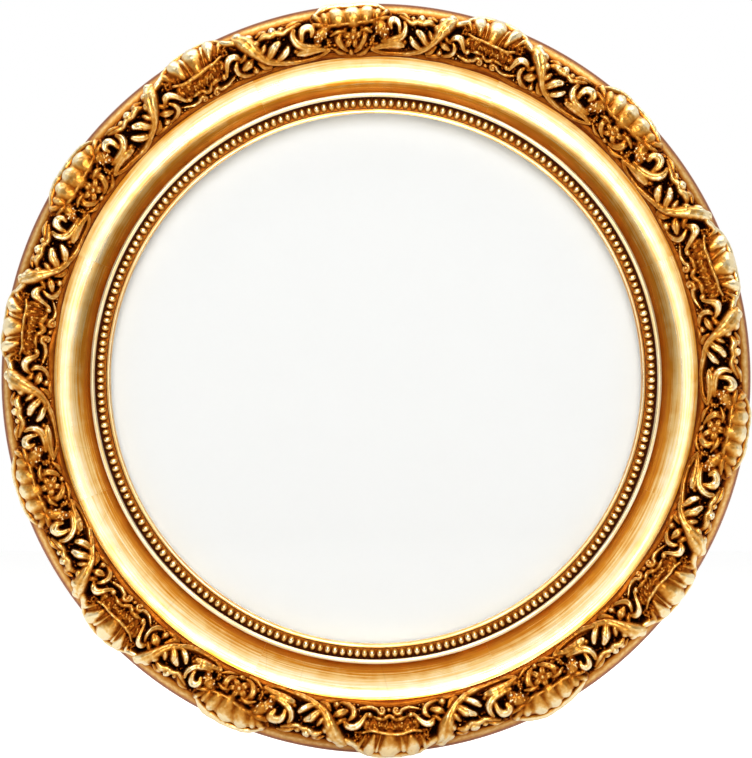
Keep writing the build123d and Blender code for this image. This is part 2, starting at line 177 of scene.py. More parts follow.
@dataclass(frozen=True)
class Finish:
    """A named material; a subclass lays out its nodes.

    The bump is how strongly a pattern's height is felt, and that height in millimetres.
    """

    name: str
    bump: ClassVar[Pair] = (0.25, 0.2)

    def lay(self, add: Adder) -> Inputs:
        """Lays out the nodes before the shader.

        Args:
            add: Adds a node to the material's tree.

        Returns:
            What the shader's inputs get, and the height for the bump, if any.
        """
        raise NotImplementedError

    def make(self) -> Material:
        """Makes the material with its nodes.

        Returns:
            The material.
        """
        material = bpy.data.materials.new(self.name)
        material.use_nodes = True
        tree = material.node_tree
        add = partial(add_node, tree)
        inputs = self.lay(add)
        if "Height" in inputs:
            strength, rise = self.bump
            bump = {"Height": inputs.pop("Height"), "Strength": strength, "Distance": rise * MM}
            inputs["Normal"] = add("Bump", bump)
        fill(tree, tree.nodes["Principled BSDF"], inputs)
        return material


@dataclass(frozen=True)
class GiltMoulding(Finish):
    """Metal leaf on polished gesso, toned with orange shellac and rubbed with a cloth.

    The eye sees a soft mirror with fine streaks along the run, faint hairline
    cracks across it, and darker toning where the piece's toning attribute is high; that attribute also
    carries painted shade and painted highlight.
    """

    roughness: Pair = (0.25, 0.38)
    palette: tuple[Gold, ...] = (Gold.GLEAM, Gold.PALE, Gold.SHELLAC, Gold.AMBER)
    palette_places: tuple[float, ...] = (0.16, 0.5, 0.74, 0.96)
    rubbed: float = 0.2
    streak_mm: float = 0.9
    streak_length_mm: float = 45.0
    streak_share: float = 0.9
    mottle_mm: float = 9.0
    mottle_share: float = 0.35
    crack_spacing_mm: float = 60.0
    crack_reach_mm: float = 180.0
    crack_width: float = 0.004
    crack_cover: float = 0.14
    varnish: float = 0.25
    varnish_roughness: float = 0.25
    bump = (0.3, 0.2)

    def lay(self, add: Adder) -> Inputs:
        """Gold by toning, painted shade and painted highlight from the piece's attribute, streaks and
        mottle on the run of the moulding, then the cracks.

        Args:
            add: Adds a node to the material's tree.

        Returns:
            What the shader's inputs get.
        """
        run = add("Attribute", output="Vector", attribute_name="run")
        tone = add("Attribute", output="Fac", attribute_name="tone")
        fine = (per_metre(self.streak_length_mm), per_metre(self.streak_mm), 1.0)
        stretched = add("VectorMath", {0: run, 1: fine}, operation="MULTIPLY")
        streaks = add("TexNoise", {"Vector": stretched, "Scale": 1.0, "Detail": 4.0})
        mottle = add("TexNoise", {"Vector": run, "Scale": per_metre(self.mottle_mm), "Detail": 5.0})
        # The toning attribute brings painted shade at the cove's ends, its outer edge and the slip's
        # channel, and a painted highlight in the cove's middle.
        gold_level = add("Math", {0: streaks, 1: self.streak_share, 2: tone}, operation="MULTIPLY_ADD")
        gold_level = add("Math", {0: gold_level, 1: self.rubbed}, operation="SUBTRACT")
        gold_level = add("Math", {0: mottle, 1: self.mottle_share, 2: gold_level}, operation="MULTIPLY_ADD")
        gold = add("ValToRGB", {0: gold_level}, stops=tuple(zip(self.palette_places, self.palette)))
        wide = (per_metre(self.crack_spacing_mm), per_metre(self.crack_reach_mm), 1.0)
        spread = add("VectorMath", {0: run, 1: wide}, operation="MULTIPLY")
        cells = add("TexVoronoi", {"Vector": spread, "Scale": 1.0}, feature="DISTANCE_TO_EDGE")
        crack = add("MapRange", {0: cells, 1: 0.0, 2: self.crack_width, 3: self.crack_cover, 4: 0.0})
        # A colour Mix has its factor at 0, its colours at 6 and 7 and its result at 2.
        colour = add("Mix", {0: crack, 6: gold, 7: linear(Gold.TONED)}, 2, data_type="RGBA")
        low, high = self.roughness
        rough = add("MapRange", {0: streaks, 1: NOISE_LOW, 2: NOISE_HIGH, 3: low, 4: high})
        return {
            "Base Color": colour,
            "Roughness": rough,
            "Height": streaks,
            "Metallic": 1.0,
            "Coat Weight": self.varnish,
            "Coat Roughness": self.varnish_roughness,
        }


@dataclass(frozen=True)
class GiltOrnament(Finish):
    """Metal leaf on pressed composition, with an umber wash wiped off the high places.

    The eye sees bright leaf on every crest, partly rubbed and partly painted highlight, and a wash that
    turns brown, then nearly black, towards the bottom of each pocket, which is partly painted shade.
    """

    roughness: Pair = (0.3, 0.62)
    roughest_depth: float = 0.9
    # Crest colours are partly painted highlight; the wash and pocket colours are partly painted shade.
    wear_and_painted_light: Stops = (
        (0.02, Gold.BURNISHED_AND_HIGHLIGHT),
        (0.09, Gold.WORN_AND_HIGHLIGHT),
        (0.19, Gold.RUBBED),
        (0.34, Gold.LEAF),
        (0.51, Gold.TONED),
        (0.7, Gold.WASH_AND_SHADE),
        (0.95, Gold.POCKET_SHADE),
    )
    mottle_mm: float = 2.6
    mottle_share: float = 0.25
    grain_mm: float = 0.7
    varnish: float = 0.5
    varnish_fade: Pair = (0.05, 0.3)
    varnish_roughness: float = 0.16

    def lay(self, add: Adder) -> Inputs:
        """Gold to wash and painted shade by how hollow the place is, broken up by two noises.

        Args:
            add: Adds a node to the material's tree.

        Returns:
            What the shader's inputs get.
        """
        hollow = add("Attribute", output="Fac", attribute_name="hollow")
        place = add("TexCoord", output="Object")
        mottle = add("TexNoise", {"Vector": place, "Scale": per_metre(self.mottle_mm), "Detail": 4.0})
        grain = add("TexNoise", {"Vector": place, "Scale": per_metre(self.grain_mm), "Detail": 2.0})
        centred = add("Math", {0: mottle, 1: 0.5}, operation="SUBTRACT")
        depth = add("Math", {0: centred, 1: self.mottle_share, 2: hollow}, operation="MULTIPLY_ADD")
        low, high = self.roughness
        start, end = self.varnish_fade
        return {
            "Base Color": add("ValToRGB", {0: depth}, stops=self.wear_and_painted_light),
            "Roughness": add("MapRange", {0: depth, 1: 0.0, 2: self.roughest_depth, 3: low, 4: high}),
            "Height": grain,
            "Metallic": 1.0,
            "Coat Weight": add("MapRange", {0: depth, 1: start, 2: end, 3: self.varnish, 4: 0.0}),
            "Coat Roughness": self.varnish_roughness,
        }


@dataclass(frozen=True)
class BirchPlywood(Finish):
    """Birch plywood, sawn and sanded: pale long grain on the face, plies on the edges.

    A pair of plies is drawn about twice as thick as real ones, so that it shows.
    """

    colours: Stops = ((0.3, "#B88A55"), (0.6, "#D3AE78"), (0.95, "#E4CB9C"))
    grain_mm: float = 1.1
    grain_length_mm: float = 60.0
    grain_depth_mm: float = 8.4
    ply_pair_mm: float = 5.527
    ply_share: float = 0.35
    bump = (0.3, 0.3)

    def lay(self, add: Adder) -> Inputs:
        """Stretched grain on the face, and plies that change with the depth.

        Args:
            add: Adds a node to the material's tree.

        Returns:
            What the shader's inputs get.
        """
        place = add("TexCoord", output="Object")
        sizes = (self.grain_length_mm, self.grain_depth_mm, self.grain_mm)
        scaled = add("VectorMath", {0: place, 1: tuple(map(per_metre, sizes))}, operation="MULTIPLY")
        grain = add("TexNoise", {"Vector": scaled, "Scale": 1.0, "Detail": 6.0, "Distortion": 0.6})
        wave = {"Vector": place, "Scale": WAVE_LENGTH * per_metre(self.ply_pair_mm), "Distortion": 0.4}
        plies = add("TexWave", wave, "Fac", bands_direction="Y")
        tint = add("Math", {0: plies, 1: self.ply_share, 2: grain}, operation="MULTIPLY_ADD")
        return {
            "Base Color": add("ValToRGB", {0: tint}, stops=self.colours),
            "Height": grain,
            "Roughness": 0.62,
        }


@dataclass(frozen=True)
class WoodFibre(Finish):
    """Pressed board, or beech cut across: fine mottled fibres, darker where they clump."""

    dark: str
    pale: str
    fibre_mm: float
    roughness: float
    cloud_fibres: float = 30.0
    cloud_share: float = 0.5
    darkest: float = 0.45

    def lay(self, add: Adder) -> Inputs:
        """Fibres from one fine noise, with a wide cloudiness under them.

        Args:
            add: Adds a node to the material's tree.

        Returns:
            What the shader's inputs get.
        """
        place = add("TexCoord", output="Object")
        fine, wide = per_metre(self.fibre_mm), per_metre(self.fibre_mm * self.cloud_fibres)
        fibres = add("TexNoise", {"Vector": place, "Scale": fine, "Detail": 6.0, "Distortion": 1.5})
        clouds = add("TexNoise", {"Vector": place, "Scale": wide, "Detail": 3.0})
        tint = add("Math", {0: clouds, 1: self.cloud_share, 2: fibres}, operation="MULTIPLY_ADD")
        return {
            "Base Color": add("ValToRGB", {0: tint}, stops=((self.darkest, self.dark), (1.0, self.pale))),
            "Height": fibres,
            "Roughness": self.roughness,
        }


@dataclass(frozen=True)
class PlainMetal(Finish):
    """Plated or rolled metal: cloudy plating, dull and bright, and fine rolling scratches."""

    dark: str
    bright: str
    roughness: Pair = (0.44, 0.28)
    cloud_mm: float = 5.0
    scratch_mm: float = 0.25
    scratch_length_mm: float = 10.0
    bump = (0.15, 0.1)

    def lay(self, add: Adder) -> Inputs:
        """Cloudy colour and roughness, scratches stretched along X.

        Args:
            add: Adds a node to the material's tree.

        Returns:
            What the shader's inputs get.
        """
        place = add("TexCoord", output="Object")
        clouds = add("TexNoise", {"Vector": place, "Scale": per_metre(self.cloud_mm), "Detail": 4.0})
        sizes = (self.scratch_length_mm, self.scratch_mm, self.scratch_mm)
        scaled = add("VectorMath", {0: place, 1: tuple(map(per_metre, sizes))}, operation="MULTIPLY")
        scratches = add("TexNoise", {"Vector": scaled, "Scale": 1.0, "Detail": 2.0})
        dull, smooth = self.roughness
        tones = ((NOISE_LOW, self.dark), (NOISE_HIGH, self.bright))
        return {
            "Base Color": add("ValToRGB", {0: clouds}, stops=tones),
            "Roughness": add("MapRange", {0: clouds, 1: NOISE_LOW, 2: NOISE_HIGH, 3: dull, 4: smooth}),
            "Height": scratches,
            "Metallic": 1.0,
        }


@dataclass(frozen=True)
class PhotoPaper(Finish):
    """Blank white photo paper with a satin surface and a hardly visible tooth."""

    tooth_mm: float = 0.6
    colours: Stops = ((NOISE_LOW, "#FBFBFA"), (NOISE_HIGH, WHITE))
    bump = (0.05, 0.1)

    def lay(self, add: Adder) -> Inputs:
        """White with a very faint cloud, and a fine tooth in the bump.

        Args:
            add: Adds a node to the material's tree.

        Returns:
            What the shader's inputs get.
        """
        place = add("TexCoord", output="Object")
        tooth = add("TexNoise", {"Vector": place, "Scale": per_metre(self.tooth_mm), "Detail": 2.0})
        return {
            "Base Color": add("ValToRGB", {0: tooth}, stops=self.colours),
            "Height": tooth,
            "Roughness": 0.5,
        }


@dataclass(frozen=True)
class PictureGlass(Finish):
    """Thin float glass: clear straight on, and a mirror at a glancing angle."""

    straight_on: float = 0.04

    def lay(self, add: Adder) -> Inputs:
        """A mirror whose cover grows as the view turns, F + (1 - F) (1 - cos a)^5.

        Args:
            add: Adds a node to the material's tree.

        Returns:
            What the shader's inputs get.
        """
        facing = add("LayerWeight", {"Blend": 0.5}, "Facing")
        glance = add("Math", {0: facing, 1: 5.0}, operation="POWER")
        return {
            "Base Color": linear("#F4FAF7"),
            "Alpha": add("MapRange", {0: glance, 3: self.straight_on, 4: 1.0}),
            "Metallic": 1.0,
            "Roughness": 0.03,
        }


@dataclass(frozen=True)
class PaleFloor(Finish):
    """Pale studio paper: white where the camera or clear glass shows it, dimmer in a mirror."""

    glow: float = 0.75
    mirrored: float = 0.5

    def lay(self, add: Adder) -> Inputs:
        """A pale matt colour, and a glow that depends on the kind of ray.

        Args:
            add: Adds a node to the material's tree.

        Returns:
            What the shader's inputs get.
        """
        rays = ("Is Camera Ray", "Is Transmission Ray", "Is Glossy Ray")
        camera, through, glossy = (add("LightPath", output=ray) for ray in rays)
        seen = add("Math", {0: camera, 1: through}, operation="MAXIMUM")
        seen = add("Math", {0: glossy, 1: self.mirrored, 2: seen}, operation="MULTIPLY_ADD")
        return {
            "Base Color": linear("#EDEDEB"),
            "Roughness": 0.9,
            "Emission Color": linear(WHITE),
            "Emission Strength": add("Math", {0: seen, 1: self.glow}, operation="MULTIPLY"),
        }


def mesh_piece(
    name: str,
    points: Array,
    faces: Array,
    caps: Sequence[Array],
    material: Material,
    sharp: float | None = None,
) -> Piece:
    """Puts a surface into a mesh object in metres, with its faces turned outward.

    The signed volume under the faces, summed over their corner fans, tells
    whether they all have to be turned.

    Args:
        name: Name of the piece.
        points: Corners in millimetres, one row each.
        faces: Four corner numbers in each row.
        caps: Corner numbers of each many-sided face.
        material: The finish.
        sharp: Edges that bend by more than this many degrees stay sharp.

    Returns:
        The object, linked to the scene.
    """
    triangles = np.concatenate(
        [faces[:, (0, 1, 2)], faces[:, (0, 2, 3)]]
        + [np.stack([np.full(len(c) - 2, c[0]), c[1:-1], c[2:]], axis=1) for c in caps]
    )
    corners = points[triangles]
    volume = np.einsum("ij,ij->i", corners[:, 0], np.cross(corners[:, 1], corners[:, 2])).sum()
    step = 1 if volume > 0 else -1
    loops = np.concatenate([faces[:, ::step].ravel()] + [np.asarray(c)[::step] for c in caps])
    sizes = np.concatenate([np.full(len(faces), 4), [len(c) for c in caps]]).astype(np.int64)
    starts = np.concatenate([[0], np.cumsum(sizes)[:-1]])
    mesh = bpy.data.meshes.new(name)
    mesh.vertices.add(len(points))
    mesh.vertices.foreach_set("co", (points * MM).astype(np.float32).ravel())
    mesh.loops.add(len(loops))
    mesh.loops.foreach_set("vertex_index", loops.astype(np.int32))
    mesh.polygons.add(len(sizes))
    mesh.polygons.foreach_set("loop_start", starts.astype(np.int32))
    mesh.update(calc_edges=True)
    mesh.polygons.foreach_set("use_smooth", np.ones(len(sizes), dtype=bool))
    if sharp is not None:
        mesh.set_sharp_from_angle(angle=radians(sharp))
    mesh.materials.append(material)
    piece = bpy.data.objects.new(name, mesh)
    bpy.context.scene.collection.objects.link(piece)
    return piece


def add_attribute(piece: Piece, name: str, values: Array) -> None:
    """Stores one number or one vector for each corner point of a piece.

    Args:
        piece: The piece that carries the attribute.
        name: The attribute's name.
        values: One number, or three, for each point.
    """
    kind, field = ("FLOAT", "value") if values.ndim == 1 else ("FLOAT_VECTOR", "vector")
    layer = piece.data.attributes.new(name, kind, "POINT")
    layer.data.foreach_set(field, values.astype(np.float32).ravel())


def add_run(piece: Piece, section: Array, tone: Array, clock: Array, radius: float, layer: float) -> None:
    """Stores each point's place on the run of a moulding, and its toning.

    The place is the way round at a radius, the way over the section from its first
    corner, and a layer of the streaks that belongs to the piece alone.

    Args:
        piece: The piece, made of the section at each clock angle.
        section: Radius and depth of the section's places.
        tone: Toning of the section's places.
        clock: Clock angles of the columns.
        radius: Radius at which the way round is measured.
        layer: The piece's own layer of the streaks.
    """
    steps = np.hypot(*np.diff(section, axis=0, prepend=section[:1]).T).cumsum()
    along = np.radians(clock)[:, None] * radius * MM
    run = np.stack(np.broadcast_arrays(along, steps * MM, np.float64(layer)), axis=-1)
    add_attribute(piece, "run", run.reshape(-1, 3))
    add_attribute(piece, "tone", np.broadcast_to(tone, run.shape[:2]).ravel())


def declare(piece: Piece, slot: str, *nodes: str) -> None:
    """Says which body a piece rides on and hides the nodes it stands for.

    Args:
        piece: The piece.
        slot: Not used.
        *nodes: The nodes that it stands for.
    """
    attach(piece, FRAME_BODY)
    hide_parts(*nodes)
    LOG.info("%s: %d faces", piece.name, len(piece.data.polygons))


def tube_faces(columns: int, loop: int, wrapped: bool) -> tuple[Array, list[Array]]:
    """Faces of a closed loop carried along a path.

    Corner number = column x loop length + place on the loop. Each face joins two
    places next to each other on two columns next to each other. An open path
    gets a many-sided cap at each end.

    Args:
        columns: Number of stations along the path.
        loop: Number of places on the loop.
        wrapped: Whether the last station joins the first.

    Returns:
        The four-cornered faces and the caps.
    """
    first = np.arange(columns if wrapped else columns - 1)
    here, place = np.meshgrid(first, np.arange(loop), indexing="ij")
    after, beside = (here + 1) % columns * loop, (place + 1) % loop
    here = here * loop
    quads = np.stack([here + place, after + place, after + beside, here + beside], axis=-1)
    ends = [] if wrapped else [np.arange(loop), (columns - 1) * loop + np.arange(loop)[::-1]]
    return quads.reshape(-1, 4), ends


def turned_points(radius: Array, depth: Array, clock: Array) -> Array:
    """Points turned about the axis: x = r sin c, y = -depth, z = r cos c.

    Args:
        radius: Distances from the axis.
        depth: Depths in front of the wall plane.
        clock: Clock angles, which the others are spread over.

    Returns:
        One row for each point.
    """
    angle = np.radians(clock)
    flat = np.broadcast_arrays(radius * np.sin(angle), -depth, radius * np.cos(angle))
    return np.stack(flat, axis=-1).reshape(-1, 3)


def circle_of(start: Pair, end: Pair, sag: float) -> tuple[Array, float]:
    """The circle of an arc that bulges to the left of its chord.

    Radius = (half chord squared + sag squared) / 2 sag. The centre lies on the line
    through the chord's middle and across it.

    Args:
        start: Radius and depth of the first point.
        end: Radius and depth of the last point.
        sag: Bulge to the left of the chord, negative to the right.

    Returns:
        Radius and depth of the centre, and the circle's radius.
    """
    chord = np.subtract(end, start)
    length = np.hypot(*chord)
    left = np.array([-chord[1], chord[0]]) / length
    radius = ((length / 2) ** 2 + sag**2) / (2 * abs(sag))
    return np.add(start, end) / 2 + left * (sag - np.sign(sag) * radius), radius


def arc_between(start: Pair, end: Pair, sag: float, count: int) -> Array:
    """Points of a circular arc, swept evenly about its centre from start to end.

    Args:
        start: Radius and depth of the first point.
        end: Radius and depth of the last point.
        sag: Bulge to the left of the chord, negative to the right.
        count: Number of points.

    Returns:
        Radius and depth of each point.
    """
    centre, radius = circle_of(start, end, sag)
    first = np.arctan2(*(start - centre)[::-1])
    swing = (np.arctan2(*(end - centre)[::-1]) - first + pi) % (2 * pi) - pi
    sweep = first + np.linspace(0, swing, count)
    return centre + radius * np.stack([np.cos(sweep), np.sin(sweep)], axis=-1)


def straight(start: Pair, end: Pair, count: int) -> Array:
    """Evenly spaced points from start up to, but without, end."""
    share = np.linspace(0, 1, count, endpoint=False)[:, None]
    return np.asarray(start, float) * (1 - share) + np.asarray(end, float) * share


def toned(*parts: tuple[Array, float | Array]) -> tuple[Array, Array]:
    """Joins the stretches of a section, and the toning of each, into two arrays."""
    tones = [np.broadcast_to(tone, len(part)) for part, tone in parts]
    return np.concatenate([part for part, _ in parts]), np.concatenate(tones)


def bell(x: Array, middle: float, reach: float) -> Array:
    """A bell of height one: exp(-((x - middle) / reach) squared)."""
    return np.exp(-(((x - middle) / reach) ** 2))


def slope(x: Array, start: float, end: float) -> Array:
    """Rises in a straight line from 0 at start to 1 at end, and is level beyond them."""
    return np.clip((x - start) / (end - start), 0, 1)


def end_fade(columns: int) -> Array:
    """A column of factors that fade out at both ends: the root of a half sine."""
    return np.sin(np.linspace(0, pi, columns))[:, None] ** 0.5


def blur_factors(shape: tuple[int, int], blur: Pair) -> Array:
    """Factors of a bell-shaped blur on the frequencies f: exp(-2 (pi f blur) squared)."""
    down, along = np.fft.fftfreq(shape[0])[:, None], np.fft.fftfreq(shape[1])[None, :]
    return np.exp(-2 * pi**2 * ((down * blur[0]) ** 2 + (along * blur[1]) ** 2))


def smooth_field(shape: tuple[int, int], blur: Pair, seed: int) -> Array:
    """A seeded random field of spread one, blurred by a bell in each direction.

    Args:
        shape: Rows and columns.
        blur: Width of the bell in cells, along rows and columns.
        seed: Seed of the noise.

    Returns:
        The field, periodic in both directions.
    """
    noise = np.random.default_rng(seed).standard_normal(shape)
    field = np.fft.ifft2(np.fft.fft2(noise) * blur_factors(shape, blur)).real
    return field / field.std()


def blurred(field: Array, blur: float) -> Array:
    """Blurs a field by a bell, with its edges mirrored.

    Args:
        field: The field.
        blur: Width of the bell in cells.

    Returns:
        The blurred field.
    """
    margin = int(blur * 3) + 1
    wide = np.pad(field, margin, mode="reflect")
    soft = np.fft.ifft2(np.fft.fft2(wide) * blur_factors(wide.shape, (blur, blur))).real
    return soft[margin:-margin, margin:-margin]


@dataclass(frozen=True)
class RimArc:
    """The round rim under the ornament: a circle from the cove's foot to the outer edge."""

    foot: Pair = (179.2, 20.7)
    edge: Pair = (208.65, 13.4)
    crown: float = 10.6
    plain_edge: float = 1.6
    bed_radius: float = 12.4
    bed_flat: float = 35.0

    @property
    def radius(self) -> float:
        """Radius of the arc, from its chord and crown."""
        return circle_of(self.foot, self.edge, self.crown)[1]

    @property
    def centre(self) -> Array:
        """Radius and depth of the arc's centre."""
        return circle_of(self.foot, self.edge, self.crown)[0]

    def angle(self, place: Pair) -> float:
        """The angle of a place on the arc, from straight forward towards the outside."""
        return degrees(atan2(place[0] - self.centre[0], place[1] - self.centre[1]))

    @property
    def first(self) -> float:
        """The arc's angle at the foot of the cove."""
        return self.angle(self.foot)

    @property
    def last(self) -> float:
        """The arc's angle where the ornament ends and the plain edge begins."""
        return self.angle(self.edge) - degrees(self.plain_edge / self.radius)

    def place(self, angle: Array, height: Array) -> tuple[Array, Array]:
        """Radius and depth of points at angles on the arc, raised along its normal."""
        reach, turn = self.radius + height, np.radians(angle)
        return self.centre[0] + reach * np.sin(turn), self.centre[1] + reach * np.cos(turn)

    def bed(self, clearance: float) -> Array:
        """The corners of the bed under the castings, foot first.

        Args:
            clearance: Height over the bed.

        Returns:
            Radius and depth of each corner.
        """
        seat = self.bed_radius - self.radius + clearance
        angles = np.array([self.first, -self.bed_flat, self.bed_flat, self.last])
        heights = np.array([clearance, seat, seat, seat])
        return np.stack(self.place(angles, heights), axis=-1)


RIM = RimArc()


@dataclass
class Moulding:
    """The eight lengths of gilt moulding: hollow cove, bed for the ornament, plain edge."""

    segments: int = 8
    first_joint: float = 22.5
    inner: float = 158.8
    shoulder: float = 13.4
    cove_top: float = 25.3
    cove_sag: float = 3.1
    wall_places: int = 4
    cove_places: int = 44
    edge_places: int = 8
    back_places: int = 6
    joint_gap: float = 0.06
    columns: int = 120
    sharp: float = 35.0
    wave_height: float = 0.035
    wave_blur: Pair = (9.0, 8.0)
    seed: int = 40
    plain_tone: float = 0.5
    bed_tone: float = 0.6
    # The outer plain edge is darkened as painted shade.
    edge_painted_shade: float = 0.4
    # The cove's top and foot are darkened: partly toning, partly painted shade.
    top_toning_and_shade: float = 0.54
    top_reach: float = 0.38
    foot_toning_and_shade: float = 0.26
    foot_reach: float = 0.12
    # A painted highlight: the cove is made paler in a bell round this place.
    rubbed: float = 0.12
    highlight_place: float = 0.66
    highlight_reach: float = 0.2

    def section(self) -> tuple[Array, Array]:
        """The closed section and how strongly each of its places is toned.

        Wall, cove arc, bed corners, plain edge arc and back, in that order. The
        cove is darker in a bell at its top and a narrow one at its foot, partly toning and partly painted
        shade, and a bell between them is made paler as a painted highlight.

        Returns:
            Radius and depth of each place, and its toning.
        """
        corner, top = (self.inner, self.shoulder), (self.inner, self.cove_top)
        cove = arc_between(top, RIM.foot, -self.cove_sag, self.cove_places)
        angles = np.linspace(RIM.last, RIM.angle(RIM.edge), self.edge_places)
        edge = np.stack(RIM.place(angles, np.zeros_like(angles)), axis=-1)
        share = np.linspace(0, 1, len(cove))
        # Painted shade, partly toning, at the cove's top and foot, and a painted highlight in the paler
        # bell between them.
        cove_tone = self.top_toning_and_shade * bell(share, 0, self.top_reach)
        cove_tone += self.foot_toning_and_shade * bell(share, 1, self.foot_reach)
        cove_tone -= self.rubbed * bell(share, self.highlight_place, self.highlight_reach)
        return toned(
            (straight(corner, top, self.wall_places), self.plain_tone),
            (cove, cove_tone),
            (RIM.bed(0.0)[1:], self.bed_tone),
            (edge, self.edge_painted_shade),
            (straight(RIM.edge, corner, self.back_places)[1:], self.plain_tone),
        )

    def build(self, finish: Material) -> None:
        """Makes each length: the section turned through its share of the circle.

        A smooth random wave of a few hundredths of a millimetre along the depth
        gives the leaf the slow unevenness of gesso that was rubbed by hand.

        Args:
            finish: The gilt finish of the moulding.
        """
        section, tone = self.section()
        shape = (self.columns, len(section))
        faces, caps = tube_faces(*shape, False)
        span = 360 / self.segments
        gap = degrees(self.joint_gap / RIM.edge[0])
        for number in range(self.segments):
            start = self.first_joint + span * number
            clock = np.linspace(start + gap / 2, start + span - gap / 2, self.columns)
            wave = smooth_field(shape, self.wave_blur, self.seed + number)
            depth = section[:, 1] + wave * end_fade(self.columns) * self.wave_height
            points = turned_points(section[:, 0], depth, clock[:, None])
            name = f"moulding_segment_{number + 1}"
            piece = mesh_piece(f"gilt_{name}", points, faces, caps, finish, self.sharp)
            add_run(piece, section, tone, clock, RIM.foot[0], number)
            declare(piece, "gilt_moulding", name)


@dataclass
class SightSlip:
    """The turned ring at the sight edge: rounded lip, channel and bright fillet."""

    sight: float = 147.5
    lip_end: float = 149.7
    channel_end: float = 156.4
    outer: float = 158.75
    shoulder: float = 13.4
    lip_depth: float = 23.6
    lip_round: float = 1.1
    floor_depth: float = 23.0
    fillet_depth: float = 25.7
    fillet_round: float = 0.5
    wall_places: int = 5
    lip_places: int = 12
    floor_places: int = 6
    rise_places: int = 4
    fillet_places: int = 10
    columns: int = 480
    sharp: float = 35.0
    streak_layer: float = 20.0
    wall_tone: float = -0.2
    lip_tones: Pair = (-0.35, 0.2)
    # The channel's floor and rise are darkened round the pearls: partly wash, partly painted shade.
    floor_wash_and_shade: float = 0.9
    rise_wash_and_shade: float = 0.8
    fillet_tone: float = -0.1
    back_tone: float = 0.5

    def section(self) -> tuple[Array, Array]:
        """The closed section from the sight wall outward, with its toning.

        Returns:
            Radius and depth of each place, and its toning.
        """
        corner = (self.channel_end, self.floor_depth)
        fillet = (self.channel_end, self.fillet_depth)
        lip = (self.sight, self.lip_depth)
        lip_end, outer = (self.lip_end, self.lip_depth), (self.outer, self.fillet_depth)
        floor_start = (self.lip_end, self.floor_depth)
        return toned(
            (straight((self.sight, self.shoulder), lip, self.wall_places), self.wall_tone),
            (
                arc_between(lip, lip_end, self.lip_round, self.lip_places),
                np.linspace(*self.lip_tones, self.lip_places),
            ),
            (straight(floor_start, corner, self.floor_places), self.floor_wash_and_shade),
            (np.array([corner]), self.floor_wash_and_shade),
            (straight(corner, fillet, self.rise_places)[1:], self.rise_wash_and_shade),
            (arc_between(fillet, outer, self.fillet_round, self.fillet_places), self.fillet_tone),
            (np.array([[self.outer, self.shoulder]]), self.back_tone),
        )

    def build(self, finish: Material) -> None:
        """Turns the section about the axis, all the way round.

        Args:
            finish: The gilt finish of the slip.
        """
        section, tone = self.section()
        clock = np.linspace(0, 360, self.columns, endpoint=False)
        points = turned_points(section[:, 0], section[:, 1], clock[:, None])
        faces, caps = tube_faces(self.columns, len(section), True)
        piece = mesh_piece("gilt_sight_slip", points, faces, caps, finish, self.sharp)
        add_run(piece, section, tone, clock, self.sight, self.streak_layer)
        declare(piece, "gilt_slip", "sight_slip")


